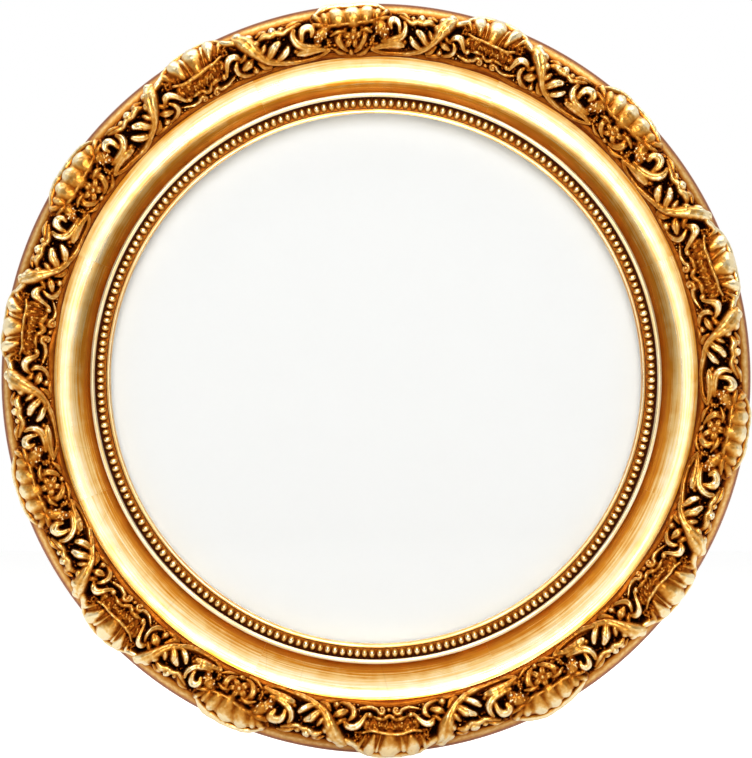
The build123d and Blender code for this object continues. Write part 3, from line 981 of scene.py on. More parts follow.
@dataclass
class PearlStrip:
    """The row of pressed pearls in the channel, on their thin strip."""

    circle: float = 153.05
    count: int = 231
    radius: float = 2.0
    stretch: float = 1.36
    size_spread: float = 0.03
    clock_spread: float = 0.04
    circle_spread: float = 0.06
    tilts: Pair = (14.0, 104.0)
    floor: float = 23.05
    strip: float = 0.6
    strip_half: float = 2.85
    strip_columns: int = 240
    lift: float = 0.3
    sides: int = 10
    rings: int = 4
    sharp: float = 50.0
    seed: int = 7
    crown: float = 1.6
    crown_hollow: float = 0.23
    wash_and_shade_per_mm: float = 0.3
    deepest: float = 0.9
    inner_hollow: float = 0.42
    outer_wash_and_shade: float = 0.78

    def pearls(self) -> tuple[Array, Array, list[Array]]:
        """Points and faces of all the pearls.

        Each is a dome: distance from its centre line = R sin v and height = R cos v,
        for v from near 0 at the crown to beyond 90 degrees where it sinks into the
        strip. Sizes and places differ a little from pearl to pearl.

        Returns:
            The points, the four-cornered faces, and the crowns and undersides.
        """
        rng = np.random.default_rng(self.seed)
        size = self.radius * (1 + self.size_spread * rng.standard_normal(self.count))
        clock = np.arange(self.count) * 360 / self.count
        clock = clock + self.clock_spread * rng.standard_normal(self.count)
        centre = self.circle + self.circle_spread * rng.standard_normal(self.count)
        tilt = np.radians(np.linspace(*self.tilts, self.rings + 1))[:, None]
        turn = np.linspace(0, 2 * pi, self.sides, endpoint=False)
        size, centre, angle = (v[:, None, None] for v in (size, centre, np.radians(clock)))
        out = size * np.sin(tilt)
        rise = size * np.cos(tilt) + self.floor + self.strip + self.lift
        radial = centre + out * np.cos(turn) * self.stretch
        tangent = out * np.sin(turn)
        x = radial * np.sin(angle) + tangent * np.cos(angle)
        z = radial * np.cos(angle) - tangent * np.sin(angle)
        points = np.stack(np.broadcast_arrays(x, -rise, z), axis=-1).reshape(-1, 3)
        faces, caps = tube_faces(self.rings + 1, self.sides, False)
        base = np.arange(self.count) * (self.rings + 1) * self.sides
        quads = (faces[None] + base[:, None, None]).reshape(-1, 4)
        return points, quads, [cap + start for start in base for cap in caps]

    def build(self, finish: Material) -> None:
        """Joins the pearls and their strip into one piece.

        A pearl is more hollow the further a place lies behind the crowns; this darkening is partly wash and
        partly painted shade, and the strip's outer side is darkened the same way.

        Args:
            finish: The gilt finish of the pearls.
        """
        points, quads, caps = self.pearls()
        low, high = self.circle - self.strip_half, self.circle + self.strip_half
        top = self.floor + self.strip
        section = np.array([[low, self.floor], [low, top], [high, top], [high, self.floor]])
        clock = np.linspace(0, 360, self.strip_columns, endpoint=False)[:, None]
        band = turned_points(section[:, 0], section[:, 1], clock)
        band_faces, _ = tube_faces(self.strip_columns, len(section), True)
        # Darker behind the crowns and on the strip's outer side: partly wash, partly painted shade in the
        # gaps.
        hollow = self.crown_hollow + (top + self.crown + points[:, 1]) * self.wash_and_shade_per_mm
        band_hollow = np.repeat([self.inner_hollow, self.outer_wash_and_shade], 2)
        piece = mesh_piece(
            "gilt_pearl_strip",
            np.concatenate([points, band]),
            np.concatenate([quads, band_faces[:, ::-1] + len(points)]),
            caps,
            finish,
            self.sharp,
        )
        deep = [np.clip(hollow, 0.0, self.deepest), np.tile(band_hollow, self.strip_columns)]
        add_attribute(piece, "hollow", np.concatenate(deep))
        declare(piece, "gilt_pearls", "pearl_strip")


class Motif(Enum):
    """The two kinds of casting, in the order in which they take turns round the rim."""

    CARTOUCHE = "cartouche"
    SHELL = "shell"


@dataclass(frozen=True)
class Stroke:
    """A modelled stem, leaf, lobe or bead of the ornament.

    Each point has x along the rim from a shell's middle, y outward as seen from the
    front from the ornament's foot, the half width and the height. A crease runs
    down the middle. Strokes that lean follow the overhang of their casting.
    """

    points: tuple[Point, ...]
    crease: float = 0.0
    leans: bool = False


@dataclass(frozen=True)
class Drawing:
    """The half repeat of the ornament, from a shell's middle to a cartouche's middle.

    The ground and the foot are given by shares of the way over the rim.
    """

    half_repeat: float = 87.4
    columns: int = 292
    rows: int = 132
    relief: float = 3.0
    fullness: float = 1.4
    drawing_foot: float = 180.0
    steepest: float = 0.97
    lean_from: float = 17.0
    lean_to: float = 29.0
    pace: float = 0.2
    least: float = 0.05
    crease_reach: float = 0.22
    ground_depth: float = 1.3
    ground_start: Pair = (0.06, 0.14)
    ground_end: Pair = (0.73, 0.68)
    foot_height: float = 0.9
    foot_place: float = 0.05
    foot_reach: float = 0.045

    def angles(self) -> Array:
        """The rim's angles at the rows, evenly spaced from the foot to the plain edge."""
        return np.linspace(RIM.first, RIM.last, self.rows)

    def arc_length(self, angle: Array) -> Array:
        """Distance over the relief from the foot, for angles on the rim."""
        return np.radians(angle - RIM.first) * (RIM.radius + self.relief)

    def arc_place(self, y: Array | float) -> Array:
        """Distance over the relief for a height y that is seen from the front."""
        share = (y + self.drawing_foot - RIM.centre[0]) / (RIM.radius + self.relief)
        return self.arc_length(np.degrees(np.arcsin(np.clip(share, -self.steepest, self.steepest))))

    def sampled(self, stroke: Stroke) -> tuple[Array, ...]:
        """Close samples along a stroke.

        The points are joined by a smooth cubic curve: between p1 and p2 it is
        0.5 (2 p1 + (p2 - p0) t + (2 p0 - 5 p1 + 4 p2 - p3) t^2 + (3 p1 - p0 - 3 p2 + p3) t^3).

        Args:
            stroke: The stroke.

        Returns:
            Place along the rim, place over the arc, half width and height of each sample.
        """
        rows = np.array(stroke.points, float)
        rows[:, 1] = self.arc_place(rows[:, 1])
        rows[:, 2] *= self.fullness
        if len(rows) == 1:
            return tuple(rows.T)
        ends = np.concatenate([2 * rows[:1] - rows[1:2], rows, 2 * rows[-1:] - rows[-2:-1]])
        length = np.hypot(*np.diff(rows[:, :2], axis=0).T).sum()
        share = np.linspace(0, len(rows) - 1, max(int(length / self.pace), 4))
        index = np.minimum(share.astype(int), len(rows) - 2)
        t = (share - index)[:, None]
        p0, p1, p2, p3 = (ends[index + k] for k in range(4))
        curve = 0.5 * (
            2 * p1
            + (p2 - p0) * t
            + (2 * p0 - 5 * p1 + 4 * p2 - p3) * t**2
            + (3 * p1 - p0 - 3 * p2 + p3) * t**3
        )
        curve[:, 2:] = np.maximum(curve[:, 2:], self.least)
        return tuple(curve.T)

    def press(self, height: Array, lean: Array, x: Array, s: Array, stroke: Stroke) -> None:
        """Raises a stroke on the field where it stands above what is there.

        Each sample is a dome, h sqrt(1 - (d / w)^2), and the stroke is the highest
        of its domes. Only the box round the stroke is worked out.

        Args:
            height: The field of heights, changed in place.
            lean: The field that says how much a place leans out, changed in place.
            x: Places of the columns along the rim.
            s: Places of the rows over the arc.
            stroke: The stroke.
        """
        px, ps, width, tall = self.sampled(stroke)
        reach = width.max()
        cols = slice(*np.searchsorted(x, [px.min() - reach, px.max() + reach]))
        rows = slice(*np.searchsorted(s, [ps.min() - reach, ps.max() + reach]))
        gap = (x[cols, None, None] - px) ** 2 + (s[None, rows, None] - ps) ** 2
        domes = tall * np.sqrt(np.clip(1 - gap / width**2, 0, None))
        best = domes.argmax(axis=-1)
        raised = np.take_along_axis(domes, best[..., None], axis=-1)[..., 0]
        near = np.sqrt(gap.min(axis=-1)) / width[best]
        if stroke.crease:
            raised = raised - stroke.crease * bell(near, 0, self.crease_reach) * (raised > 0)
        over = (raised > height[cols, rows]) & (near < 1)
        height[cols, rows] = np.where(over, raised, height[cols, rows])
        if stroke.leans:
            inside, outside = self.arc_place(self.lean_from), self.arc_place(self.lean_to)
            share = slope(s[None, rows], inside, outside) ** 2
            edge = np.clip(raised / tall[best], 0, 1)
            lean[cols, rows] = np.maximum(lean[cols, rows], share * edge * (raised > 0))

    def fields(self) -> tuple[Array, Array]:
        """The heights and the lean over the whole half repeat.

        The ground is sunk between two slopes, a bead runs along the foot, and the
        strokes are pressed on one after the other.

        Returns:
            The heights and the lean, columns first.
        """
        x = np.linspace(0, self.half_repeat, self.columns)
        s = self.arc_length(self.angles())
        share = s / s[-1]
        sunk = np.minimum(slope(share, *self.ground_start), slope(share, *self.ground_end))
        foot = self.foot_height * bell(share, self.foot_place, self.foot_reach)
        height = np.repeat((foot - self.ground_depth * sunk)[None], self.columns, axis=0)
        lean = np.zeros_like(height)
        for stroke in STROKES:
            self.press(height, lean, x, s, stroke)
        return height, lean


def stem(*points: Point) -> Stroke:
    """A plain stem or lobe along points."""
    return Stroke(points)


def leaf(crease: float, *points: Point) -> Stroke:
    """A leaf along points, with a crease of a depth down its middle."""
    return Stroke(points, crease)


def lip(*points: Point) -> Stroke:
    """A part of a shell that leans out with its casting."""
    return Stroke(points, leans=True)


def bead(x: float, y: float, radius: float, height: float) -> Stroke:
    """A round bead of a radius and height at a place on the drawing."""
    return stem((x, y, radius, height))


# Least and greatest radius and height of a nub, over the mean ones.
NUB_SIZES, NUB_RISES = (0.6, 1.4), (0.7, 1.3)


def nubs(seed: int, count: int, low: Pair, high: Pair, size: float, rise: float) -> tuple[Stroke, ...]:
    """Small seeded nubs that roughen a part of the drawing.

    Args:
        seed: Seed of the places and sizes.
        count: Number of nubs.
        low: Lowest x and y.
        high: Highest x and y.
        size: Mean radius.
        rise: Mean height.

    Returns:
        One bead for each nub.
    """
    rng = np.random.default_rng(seed)
    places = rng.uniform(low, high, (count, 2))
    radii = size * rng.uniform(*NUB_SIZES, count)
    heights = rise * rng.uniform(*NUB_RISES, count)
    return tuple(bead(x, y, r, h) for (x, y), r, h in zip(places, radii, heights))


# Radius and height of a flower's eye; reach, half width and height along a petal; its crease.
FLOWER_EYE = (1.5, 4.2)
PETAL = ((1.9, 1.0, 2.8), (3.3, 1.8, 4.0), (4.9, 1.3, 3.0))
PETAL_CREASE = 0.6


def flower(x: float, y: float, petals: int) -> tuple[Stroke, ...]:
    """A flower on the drawing: an eye and a ring of creased petals.

    Args:
        x: Its place along the rim.
        y: Its place outward.
        petals: Number of petals.

    Returns:
        One stroke for the eye and one for each petal.
    """
    made = [bead(x, y, *FLOWER_EYE)]
    for turn in np.radians(90 + 360 / petals * np.arange(petals)):
        points = ((x + r * cos(turn), y + r * sin(turn), w, h) for r, w, h in PETAL)
        made.append(leaf(PETAL_CREASE, *points))
    return tuple(made)


# Everything from the middle of a shell at x = 0 to the middle of a cartouche at x = 87.4.
STROKES: tuple[Stroke, ...] = (
    # The shell: broad flutes close together, the lip that joins them, a ledge and a rough panel.
    lip((0, 17.2, 2.6, 3.4), (0, 20.5, 3.2, 4.6), (0, 25.5, 4.6, 5.2), (0, 27.6, 4.4, 3.2)),
    lip((5.0, 18.2, 0.8, 3.0), (5.6, 21.5, 1.0, 3.8), (6.6, 25.5, 1.2, 4.2), (7.2, 27.2, 1.0, 2.6)),
    lip((9.2, 19.4, 1.5, 3.4), (9.9, 22.4, 2.2, 4.6), (10.9, 26.2, 2.9, 5.0), (11.5, 27.2, 2.3, 3.0)),
    lip((14.6, 20.8, 0.8, 2.2), (16.0, 23.4, 1.2, 3.0), (17.6, 26.0, 1.6, 2.8)),
    lip((0, 29.2, 1.7, 3.2), (8, 29.1, 1.7, 3.2), (14.8, 27.9, 1.6, 2.8), (21.4, 24.2, 0.9, 2.2)),
    stem((0, 16.6, 1.2, 4.2), (6, 16.5, 1.1, 4.0), (11, 16.2, 1.1, 3.6), (15.4, 17.8, 0.9, 2.8)),
    lip((0, 23.0, 6.5, 3.0), (6, 23.4, 5.6, 3.0), (11.5, 24.0, 4.0, 2.6)),
    stem((0, 13.0, 3.0, 2.0), (7, 13.0, 3.0, 2.0), (12, 12.4, 2.4, 1.8), (16, 11.4, 1.4, 1.6)),
    *nubs(30, 60, (0, 10.0), (15.0, 15.8), 0.95, 2.6),
    stem((26.2, 21.2, 1.0, 3.0), (22.4, 23.0, 1.6, 3.8), (19.4, 24.4, 1.6, 3.6), (17.0, 26.2, 1.1, 2.6)),
    *nubs(31, 30, (12.0, 17.5), (19.0, 24.0), 0.65, 2.0),
    # Under the panel: pearl, small leaves, curls and their thin stems.
    bead(12.4, 6.6, 1.6, 3.2),
    stem((2.6, 7.8, 0.7, 2.2), (6.4, 8.1, 1.4, 3.2), (9.8, 7.0, 0.7, 2.2)),
    stem((0, 5.6, 1.2, 2.8), (2.2, 7.0, 1.3, 3.2), (3.8, 9.0, 0.6, 2.4)),
    stem(
        (17.4, 3.6, 0.7, 2.0), (12.0, 1.8, 1.0, 2.4), (7.8, 2.8, 1.1, 3.0), (6.4, 4.6, 1.1, 3.4),
        (4.4, 5.0, 1.1, 3.4), (2.9, 3.5, 1.0, 3.2), (3.6, 1.5, 0.9, 2.8), (5.2, 1.9, 0.9, 3.0),
    ),
    bead(4.7, 3.2, 1.1, 3.4),
    bead(0, 2.2, 1.3, 2.4),
    *nubs(32, 18, (0.5, 5.5), (15.5, 9.4), 0.7, 1.8),
    # Leaves beside the shell, hooked over their pockets.
    leaf(
        0.5,
        (14.0, 6.0, 0.8, 2.6), (15.6, 8.8, 1.2, 3.6), (17.4, 12.2, 1.6, 4.6),
        (19.6, 14.4, 1.9, 5.0), (22.4, 14.4, 1.8, 4.6), (24.4, 12.4, 1.0, 3.0),
    ),
    leaf(
        0.4,
        (22.4, 10.8, 0.9, 3.2), (20.8, 8.2, 1.4, 4.0), (20.8, 5.2, 1.5, 3.8),
        (23.2, 2.6, 1.4, 3.2), (27.4, 0.8, 0.9, 2.0),
    ),
    leaf(0.5, (24.4, 6.2, 1.2, 3.2), (27.8, 7.6, 2.1, 4.2), (30.6, 9.4, 0.8, 2.8)),
    stem((24.6, 10.6, 1.0, 2.6), (27.0, 12.2, 1.4, 3.4), (28.8, 15.2, 0.7, 2.6)),
    bead(30.2, 2.8, 1.7, 3.4),
    leaf(0.4, (38.6, 1.8, 1.0, 2.6), (35.4, 3.2, 1.5, 3.4), (33.0, 6.4, 0.7, 2.6)),
    stem((38.0, 0.2, 0.9, 1.8), (33.4, 0.4, 1.3, 2.4), (29.2, -0.2, 0.7, 1.6)),
    *nubs(33, 26, (17.0, 1.0), (31.0, 10.0), 0.7, 1.6),
    # The long S-shaped leaf that runs from the shell's shoulder under the cartouche.
    leaf(
        0.5,
        (24.4, 24.8, 1.8, 3.6), (27.7, 21.6, 3.3, 5.6), (30.8, 16.6, 3.4, 5.8), (33.6, 11.4, 2.5, 5.2),
        (37.0, 6.9, 2.0, 4.8), (41.2, 4.0, 1.8, 4.2), (46, 1.8, 1.6, 3.6), (51, 0.1, 1.4, 3.0),
        (57, -0.8, 1.2, 2.4), (65, -0.8, 1.1, 2.2), (70, 0.4, 1.2, 2.4), (73.4, 2.6, 1.3, 2.8),
    ),
    bead(26.2, 25.0, 2.2, 4.6),
    bead(30.8, 21.8, 2.3, 5.2),
    bead(34.0, 17.4, 2.0, 5.0),
    leaf(0.5, (38.2, 7.2, 1.5, 4.2), (40.6, 9.2, 2.1, 5.0), (43.0, 11.8, 2.2, 5.2), (46.2, 13.8, 1.5, 4.0)),
    leaf(0.4, (42.6, 4.2, 1.3, 3.8), (46.0, 5.8, 1.8, 4.4), (48.6, 7.6, 1.8, 4.4), (50.4, 9.8, 1.2, 3.4)),
    stem((35.4, 10.2, 1.2, 4.2), (37.2, 12.6, 1.6, 4.6), (38.6, 15.0, 0.9, 3.2)),
    bead(54.0, 6.4, 1.3, 2.6),
    # A wavy twig with knobs above the deep pocket.
    stem(
        (36.0, 19.2, 1.0, 2.8), (39.6, 20.4, 1.8, 4.0), (43.2, 18.8, 1.5, 3.8), (46.6, 19.4, 1.5, 3.8),
        (50.2, 18.2, 1.3, 3.4), (54.0, 19.4, 1.4, 3.4), (58.0, 21.6, 0.9, 2.2),
    ),
    bead(44.4, 21.2, 2.1, 4.6),
    bead(39.4, 22.2, 1.6, 3.4),
    bead(49.6, 20.8, 1.5, 3.4),
    stem((52.0, 21.0, 0.8, 2.4), (55.4, 22.8, 1.3, 2.8), (59.6, 23.6, 0.7, 1.6)),
    stem((35.0, 21.8, 0.8, 2.4), (38.2, 23.4, 1.2, 2.6), (41.4, 23.8, 0.6, 1.4)),
    *nubs(34, 16, (36.0, 14.5), (54.0, 18.0), 0.6, 1.2),
    # The cartouche's scroll, hook, rough dome and leaf tail.
    leaf(
        0.6,
        (55.2, 17.4, 1.1, 3.8), (54.4, 14.4, 1.6, 4.8), (55.4, 11.0, 1.9, 5.2),
        (58.4, 8.2, 2.0, 5.0), (63.3, 6.8, 1.7, 4.4), (68.6, 6.6, 1.0, 3.0),
    ),
    leaf(
        0.5,
        (58.6, 11.4, 1.2, 4.0), (58.8, 14.6, 1.6, 4.8), (60.4, 17.4, 2.0, 5.2),
        (63.2, 17.8, 2.0, 5.2), (65.0, 15.8, 1.8, 4.8), (64.2, 13.2, 1.1, 3.6),
    ),
    leaf(
        0.5,
        (55.4, 4.8, 1.6, 3.8), (59.0, 5.0, 2.5, 4.8), (64, 4.4, 2.2, 4.2),
        (69, 3.6, 1.6, 3.4), (73.8, 2.4, 0.9, 2.4),
    ),
    stem((67.2, 8.8, 1.8, 2.8), (68.8, 12.2, 2.8, 3.6), (71.0, 15.0, 2.8, 3.6), (73.8, 16.4, 1.6, 2.6)),
    *nubs(36, 34, (66.2, 8.6), (73.6, 16.6), 0.8, 3.8),
    stem((65.6, 19.8, 1.0, 3.0), (69.2, 18.8, 1.5, 3.6), (72.6, 18.6, 0.9, 2.8)),
    *nubs(35, 40, (70.0, 3.6), (83.0, 15.0), 0.85, 2.2),
    # The cartouche's own shell, on a ledge: broad smooth flutes with a pit between their ends.
    lip((87.4, 22.6, 5.6, 3.7), (81, 22.8, 5.2, 3.6), (75, 22.6, 3.8, 3.2), (71.6, 23.2, 2.2, 2.4)),
    lip((87.4, 18.6, 3.6, 4.4), (87.4, 21.6, 4.5, 5.0), (87.4, 24.6, 4.2, 4.8), (87.4, 26.6, 2.6, 3.6)),
    lip((79.6, 19.0, 3.0, 4.2), (79.4, 21.8, 3.9, 4.8), (79.0, 24.6, 3.5, 4.5), (78.8, 26.4, 2.2, 3.3)),
    lip((73.0, 20.0, 1.8, 3.3), (72.6, 22.2, 2.3, 3.8), (72.2, 24.2, 1.9, 3.3)),
    lip((87.4, 29.2, 1.7, 3.2), (79, 29.0, 1.7, 3.2), (72.4, 27.7, 1.6, 2.8), (65.8, 24.1, 0.9, 2.0)),
    stem((70.0, 20.6, 1.1, 2.8), (68.0, 23, 1.6, 3.2), (66.4, 25.6, 1.1, 2.2)),
    stem((87.4, 17.2, 1.1, 4.0), (81, 17.2, 1.1, 3.8), (75.4, 17.6, 1.2, 3.4), (72.0, 18.8, 0.9, 2.6)),
    # The flower in the middle, with a bead under it and leaves beside it.
    *flower(87.4, 9.2, 5),
    bead(87.4, 1.8, 1.4, 2.8),
    leaf(0.4, (84.6, 2.4, 1.0, 2.4), (81.4, 4.6, 1.7, 3.6), (79.4, 8.2, 1.8, 3.8), (80.4, 11.4, 0.9, 2.6)),
    stem((83.6, 0.4, 0.9, 1.8), (79.4, 1.0, 1.4, 2.6), (75.2, 3.4, 0.7, 2.0)),
    stem((82.6, 12.8, 0.9, 2.8), (79.0, 13.0, 1.4, 3.4), (75.4, 11.4, 0.8, 2.4)),
)


# Clock angle of each casting and how far its shell leans out. The kinds take turns.
CASTINGS: tuple[Pair, ...] = (
    (-4.0, 2.0), (19.0, 1.0), (44.0, 1.0), (72.0, 3.0), (99.0, 0.3), (126.0, 0.3), (151.0, 3.3),
    (178.0, 2.8), (204.0, 4.4), (227.0, 2.0), (252.0, 0.5), (278.0, 0.5), (303.5, 1.0), (330.0, 0.3),
)


@dataclass(frozen=True)
class WearAndPaintedLight:
    """Where the castings are darker and paler: partly a wash that stayed and was rubbed off, partly painted
    shade in the recesses and painted highlight on lips, stripes and tall forms.

    Pairs of heights are where a share starts and where it is full. Angles on the
    rim are in degrees, and blurs are in cells of the field.
    """

    even: float = 0.42
    narrow_blur: float = 2.5
    narrow_wash_and_shade: float = 0.1
    wide_blur: float = 9.0
    wide_wash_and_shade: float = 0.125
    sunk_heights: Pair = (-0.1, -1.3)
    sunk_wash_and_shade: float = 0.12
    edge_angles: Pair = (63.0, 69.0)
    rim_edge_painted_shade: float = 0.14
    middle_height: float = 1.5
    height_rub_and_highlight: float = 0.035
    plain_heights: Pair = (0.3, 0.0)
    plain_rub_and_highlight: float = 0.16
    stripe_angle: float = 54.0
    stripe_reach: float = 9.0
    stripe_painted_highlight: float = 0.2
    tall_heights: Pair = (2.0, 3.5)
    shoulder_angle: float = 46.0
    shoulder_reach: float = 15.0
    shoulder_painted_highlight: float = 0.2

    def hollow(self, height: Array, lean: Array, turn: Array) -> Array:
        """How hollow each place is, from 0 on a crest to 1 at the bottom of a pocket.

        It is how far the place lies under the blurred surface round it, at a narrow
        and a wide blur, and more on the sunk ground, partly wash and partly painted shade, and more where
        the rim turns away to the wall, as painted shade. It is less on the lips of the shells and on the
        plain rim, partly rubbing and partly painted highlight, and less in a stripe on the plain rim and on
        tall forms of the rim's shoulder, as painted highlight.

        Args:
            height: The casting's heights.
            lean: How far each place belongs to the lip of a shell, from 0 to 1.
            turn: The rim's angle at each row.

        Returns:
            The hollowness of each place.
        """
        # Higher places are a little paler: partly rubbing, partly painted highlight.
        deep = self.even - self.height_rub_and_highlight * (height - self.middle_height)
        # Darker under the blurred surface and on the sunk ground: partly wash, partly painted shade.
        deep += self.narrow_wash_and_shade * (blurred(height, self.narrow_blur) - height)
        deep += self.wide_wash_and_shade * (blurred(height, self.wide_blur) - height)
        deep += self.sunk_wash_and_shade * slope(height, *self.sunk_heights)
        # Painted shade where the rim turns away to the wall.
        deep += self.rim_edge_painted_shade * slope(turn, *self.edge_angles)
        plain = slope(abs(height), *self.plain_heights)
        # Paler on the plain rim and the shells' lips, partly rubbing and partly painted highlight; the
        # stripe and the shoulder's tall forms are painted highlights.
        deep -= self.plain_rub_and_highlight * (plain + lean)
        deep -= self.stripe_painted_highlight * bell(turn, self.stripe_angle, self.stripe_reach) * plain
        shoulder = bell(turn, self.shoulder_angle, self.shoulder_reach)
        deep -= self.shoulder_painted_highlight * shoulder * slope(height, *self.tall_heights)
        return np.clip(deep, 0, 1)


@dataclass
class Ornament:
    """The fourteen castings on the rim, pressed from two moulds and bent on by hand."""

    drawing: Drawing = Drawing()
    wear_and_painted_light: WearAndPaintedLight = WearAndPaintedLight()
    gap: float = 0.06
    glue_line: float = 0.05
    lean_lift: float = 0.4
    wobble: float = 0.1
    wobble_blur: float = 2.2
    raised_heights: Pair = (0.4, 1.6)
    grit: float = 1.2
    grit_blur: float = 2.6
    sunk_heights: Pair = (-0.3, -1.2)
    warp: float = 0.8
    warp_blur: Pair = (22.0, 18.0)
    sharp: float = 80.0
    seed: int = 500
    seed_step: int = 10
    weather_step: int = 5
    inside: float = 1.001

    def moulds(self) -> dict[Motif, tuple[Array, ...]]:
        """Heights and lean of both moulds, the half drawing mirrored about each middle.

        Returns:
            The two fields of each mould, columns first.
        """
        fields = self.drawing.fields()
        half = self.drawing.columns // 2
        return {
            Motif.SHELL: tuple(np.concatenate([f[:half][::-1], f[:half]]) for f in fields),
            Motif.CARTOUCHE: tuple(np.concatenate([f[half:], f[half:][::-1]]) for f in fields),
        }

    def bent(self, field: Array, seed: int) -> Array:
        """A field whose places are pushed about by a slow random warp.

        Each cell takes the field's value at its own place plus the warp, by linear
        mixing of the four cells round it, just inside the last ones. The warp fades
        out at the ends.

        Args:
            field: The mould's field, columns first.
            seed: Seed of the warp.

        Returns:
            The warped field.
        """
        columns, rows = field.shape
        cell = self.drawing.half_repeat / self.drawing.columns
        fade = end_fade(columns) * self.warp / cell
        push = [smooth_field(field.shape, self.warp_blur, seed + k) * fade for k in (0, 1)]
        i, j = np.meshgrid(np.arange(columns), np.arange(rows), indexing="ij")
        u = np.clip(i + push[0], 0, columns - self.inside)
        v = np.clip(j + push[1], 0, rows - self.inside)
        iu, jv = u.astype(int), v.astype(int)
        fu, fv = u - iu, v - jv
        low = field[iu, jv] * (1 - fv) + field[iu, jv + 1] * fv
        high = field[iu + 1, jv] * (1 - fv) + field[iu + 1, jv + 1] * fv
        return low * (1 - fu) + high * fu

    def weathered(self, height: Array, seed: int) -> Array:
        """Heights with the unevenness of a worn mould.

        Raised forms get a fine wobble, the sunk ground gets rounded grit, and the
        plain rim between the shells stays smooth: wobble x noise x the share of
        the relief that is raised, plus grit x the noise above zero x the share
        that is sunk.

        Args:
            height: The casting's heights.
            seed: Seed of the noise.

        Returns:
            The new heights.
        """
        blurs = (self.wobble_blur, self.grit_blur)
        fine, coarse = (smooth_field(height.shape, (b, b), seed + k) for k, b in enumerate(blurs))
        wobble = self.wobble * fine * slope(height, *self.raised_heights)
        return height + wobble + self.grit * np.clip(coarse, 0, None) * slope(height, *self.sunk_heights)

    def build(self, finish: Material) -> None:
        """Makes every casting and seats it in the bed.

        Each is a closed section carried along the rim: the modelled front, row by
        row from foot to edge, and the bed's corners behind it.

        Args:
            finish: The gilt finish of the ornament.
        """
        moulds = self.moulds()
        kinds = list(Motif)
        clocks = np.array(CASTINGS)[:, 0]
        before = (clocks - np.roll(clocks, 1)) % 360
        after = np.roll(before, -1)
        bed = RIM.bed(self.glue_line)[::-1]
        angles = self.drawing.angles()
        for number, (middle, overhang) in enumerate(CASTINGS):
            earlier, kind = divmod(number, len(kinds))
            seed = self.seed + self.seed_step * number
            height, lean = (self.bent(f, seed) for f in moulds[kinds[kind]])
            height = height + lean * overhang * self.lean_lift
            height = self.weathered(height, seed + self.weather_step)
            columns, rows = height.shape
            side = np.linspace(-0.5, 0.5, columns)
            spacing = np.where(side < 0, before[number], after[number])
            trim = 1 - degrees(self.gap / RIM.edge[0]) / spacing
            clock = middle + side * spacing * trim
            radius, depth = RIM.place(angles, height)
            shape = (columns, len(bed))
            radius = np.concatenate([radius, np.broadcast_to(bed[:, 0], shape)], axis=1)
            depth = np.concatenate([depth, np.broadcast_to(bed[:, 1], shape)], axis=1)
            points = turned_points(radius, depth, clock[:, None])
            faces, caps = tube_faces(columns, rows + len(bed), False)
            node = f"{kinds[kind].value}_casting_{earlier + 1}"
            piece = mesh_piece(f"gilt_{node}", points, faces, caps, finish, self.sharp)
            deep = [self.wear_and_painted_light.hollow(height, lean, angles), np.ones(shape)]
            add_attribute(piece, "hollow", np.concatenate(deep, axis=1).ravel())
            declare(piece, "gilt_ornament", node)


@dataclass(frozen=True)
class Sheet:
    """A flat round sheet: its piece, the node it stands for, its depths, arris and finish."""

    name: str
    node: str
    back: float
    front: float
    arris: float
    finish: Finish


@dataclass
class PictureStack:
    """The round sheets in the rabbet that show: the glass and the print behind it."""

    radius: float = 152.4
    sides: int = 256
    sharp: float = 25.0
    sheets: tuple[Sheet, ...] = (
        Sheet("float_glass", "glass", 11.43, 13.4, 0.25, PictureGlass("picture_glass")),
        Sheet("blank_print", "photo_print", 11.03, 11.37, 0.05, PhotoPaper("photo_paper")),
    )

    def build(self) -> None:
        """Makes each sheet, a flat disc with its arrises taken off.

        The rim's section, four corners from back to front, is carried round the
        axis, and each flat is one many-sided face.
        """
        clock = np.linspace(0, 360, self.sides, endpoint=False)
        for sheet in self.sheets:
            radius = self.radius - np.array([sheet.arris, 0.0, 0.0, sheet.arris])
            depth = np.array([sheet.back, sheet.back + sheet.arris, sheet.front - sheet.arris, sheet.front])
            points = turned_points(radius[:, None], depth[:, None], clock)
            faces, caps = tube_faces(len(depth), self.sides, False)
            piece = mesh_piece(sheet.name, points, faces, caps, sheet.finish.make(), self.sharp)
            declare(piece, sheet.finish.name, sheet.node)


@dataclass
class BackParts:
    """The plain parts behind the picture, which keep their own shape and get a finish."""

    buttons: int = 6

    def dress(self) -> None:
        """Gives each carried-over node the finish of its real material."""
        buttons = [f"turn_button_{n + 1}" for n in range(self.buttons)]
        steel = PlainMetal("zinc_plated_steel", "#8E9499", "#C3C8CB")
        finishes = {
            BirchPlywood("birch_plywood"): ["rabbet_ring"],
            WoodFibre("beech_wood", "#B98A5E", "#D9B188", 0.8, 0.55): ["joint_tongues"],
            WoodFibre("hardboard", "#5E3F28", "#8A6141", 1.2, 0.5): ["backing_board"],
            WoodFibre("greyboard", "#86827A", "#B4AFA4", 1.6, 0.85): ["filler_board"],
            PlainMetal("brass_plate", "#A97F3C", "#D9B568", (0.4, 0.24)): ["hanger_strap"],
            PlainMetal("brass_wire", "#B58840", "#E0BE72", (0.35, 0.19)): ["hanger_ring"],
            steel: ["turn_button_screws", "hanger_strap_screws", *buttons],
        }
        for finish, nodes in finishes.items():
            material = finish.make()
            for node in nodes:
                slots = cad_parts[node].data.materials
                slots.clear()
                slots.append(material)
                LOG.info("%s: %s", node, material.name)


class Rays(Enum):
    """Kinds of ray that a lamp can be hidden from, by Blender's name of the switch."""

    DIFFUSE = "visible_diffuse"
    GLOSSY = "visible_glossy"


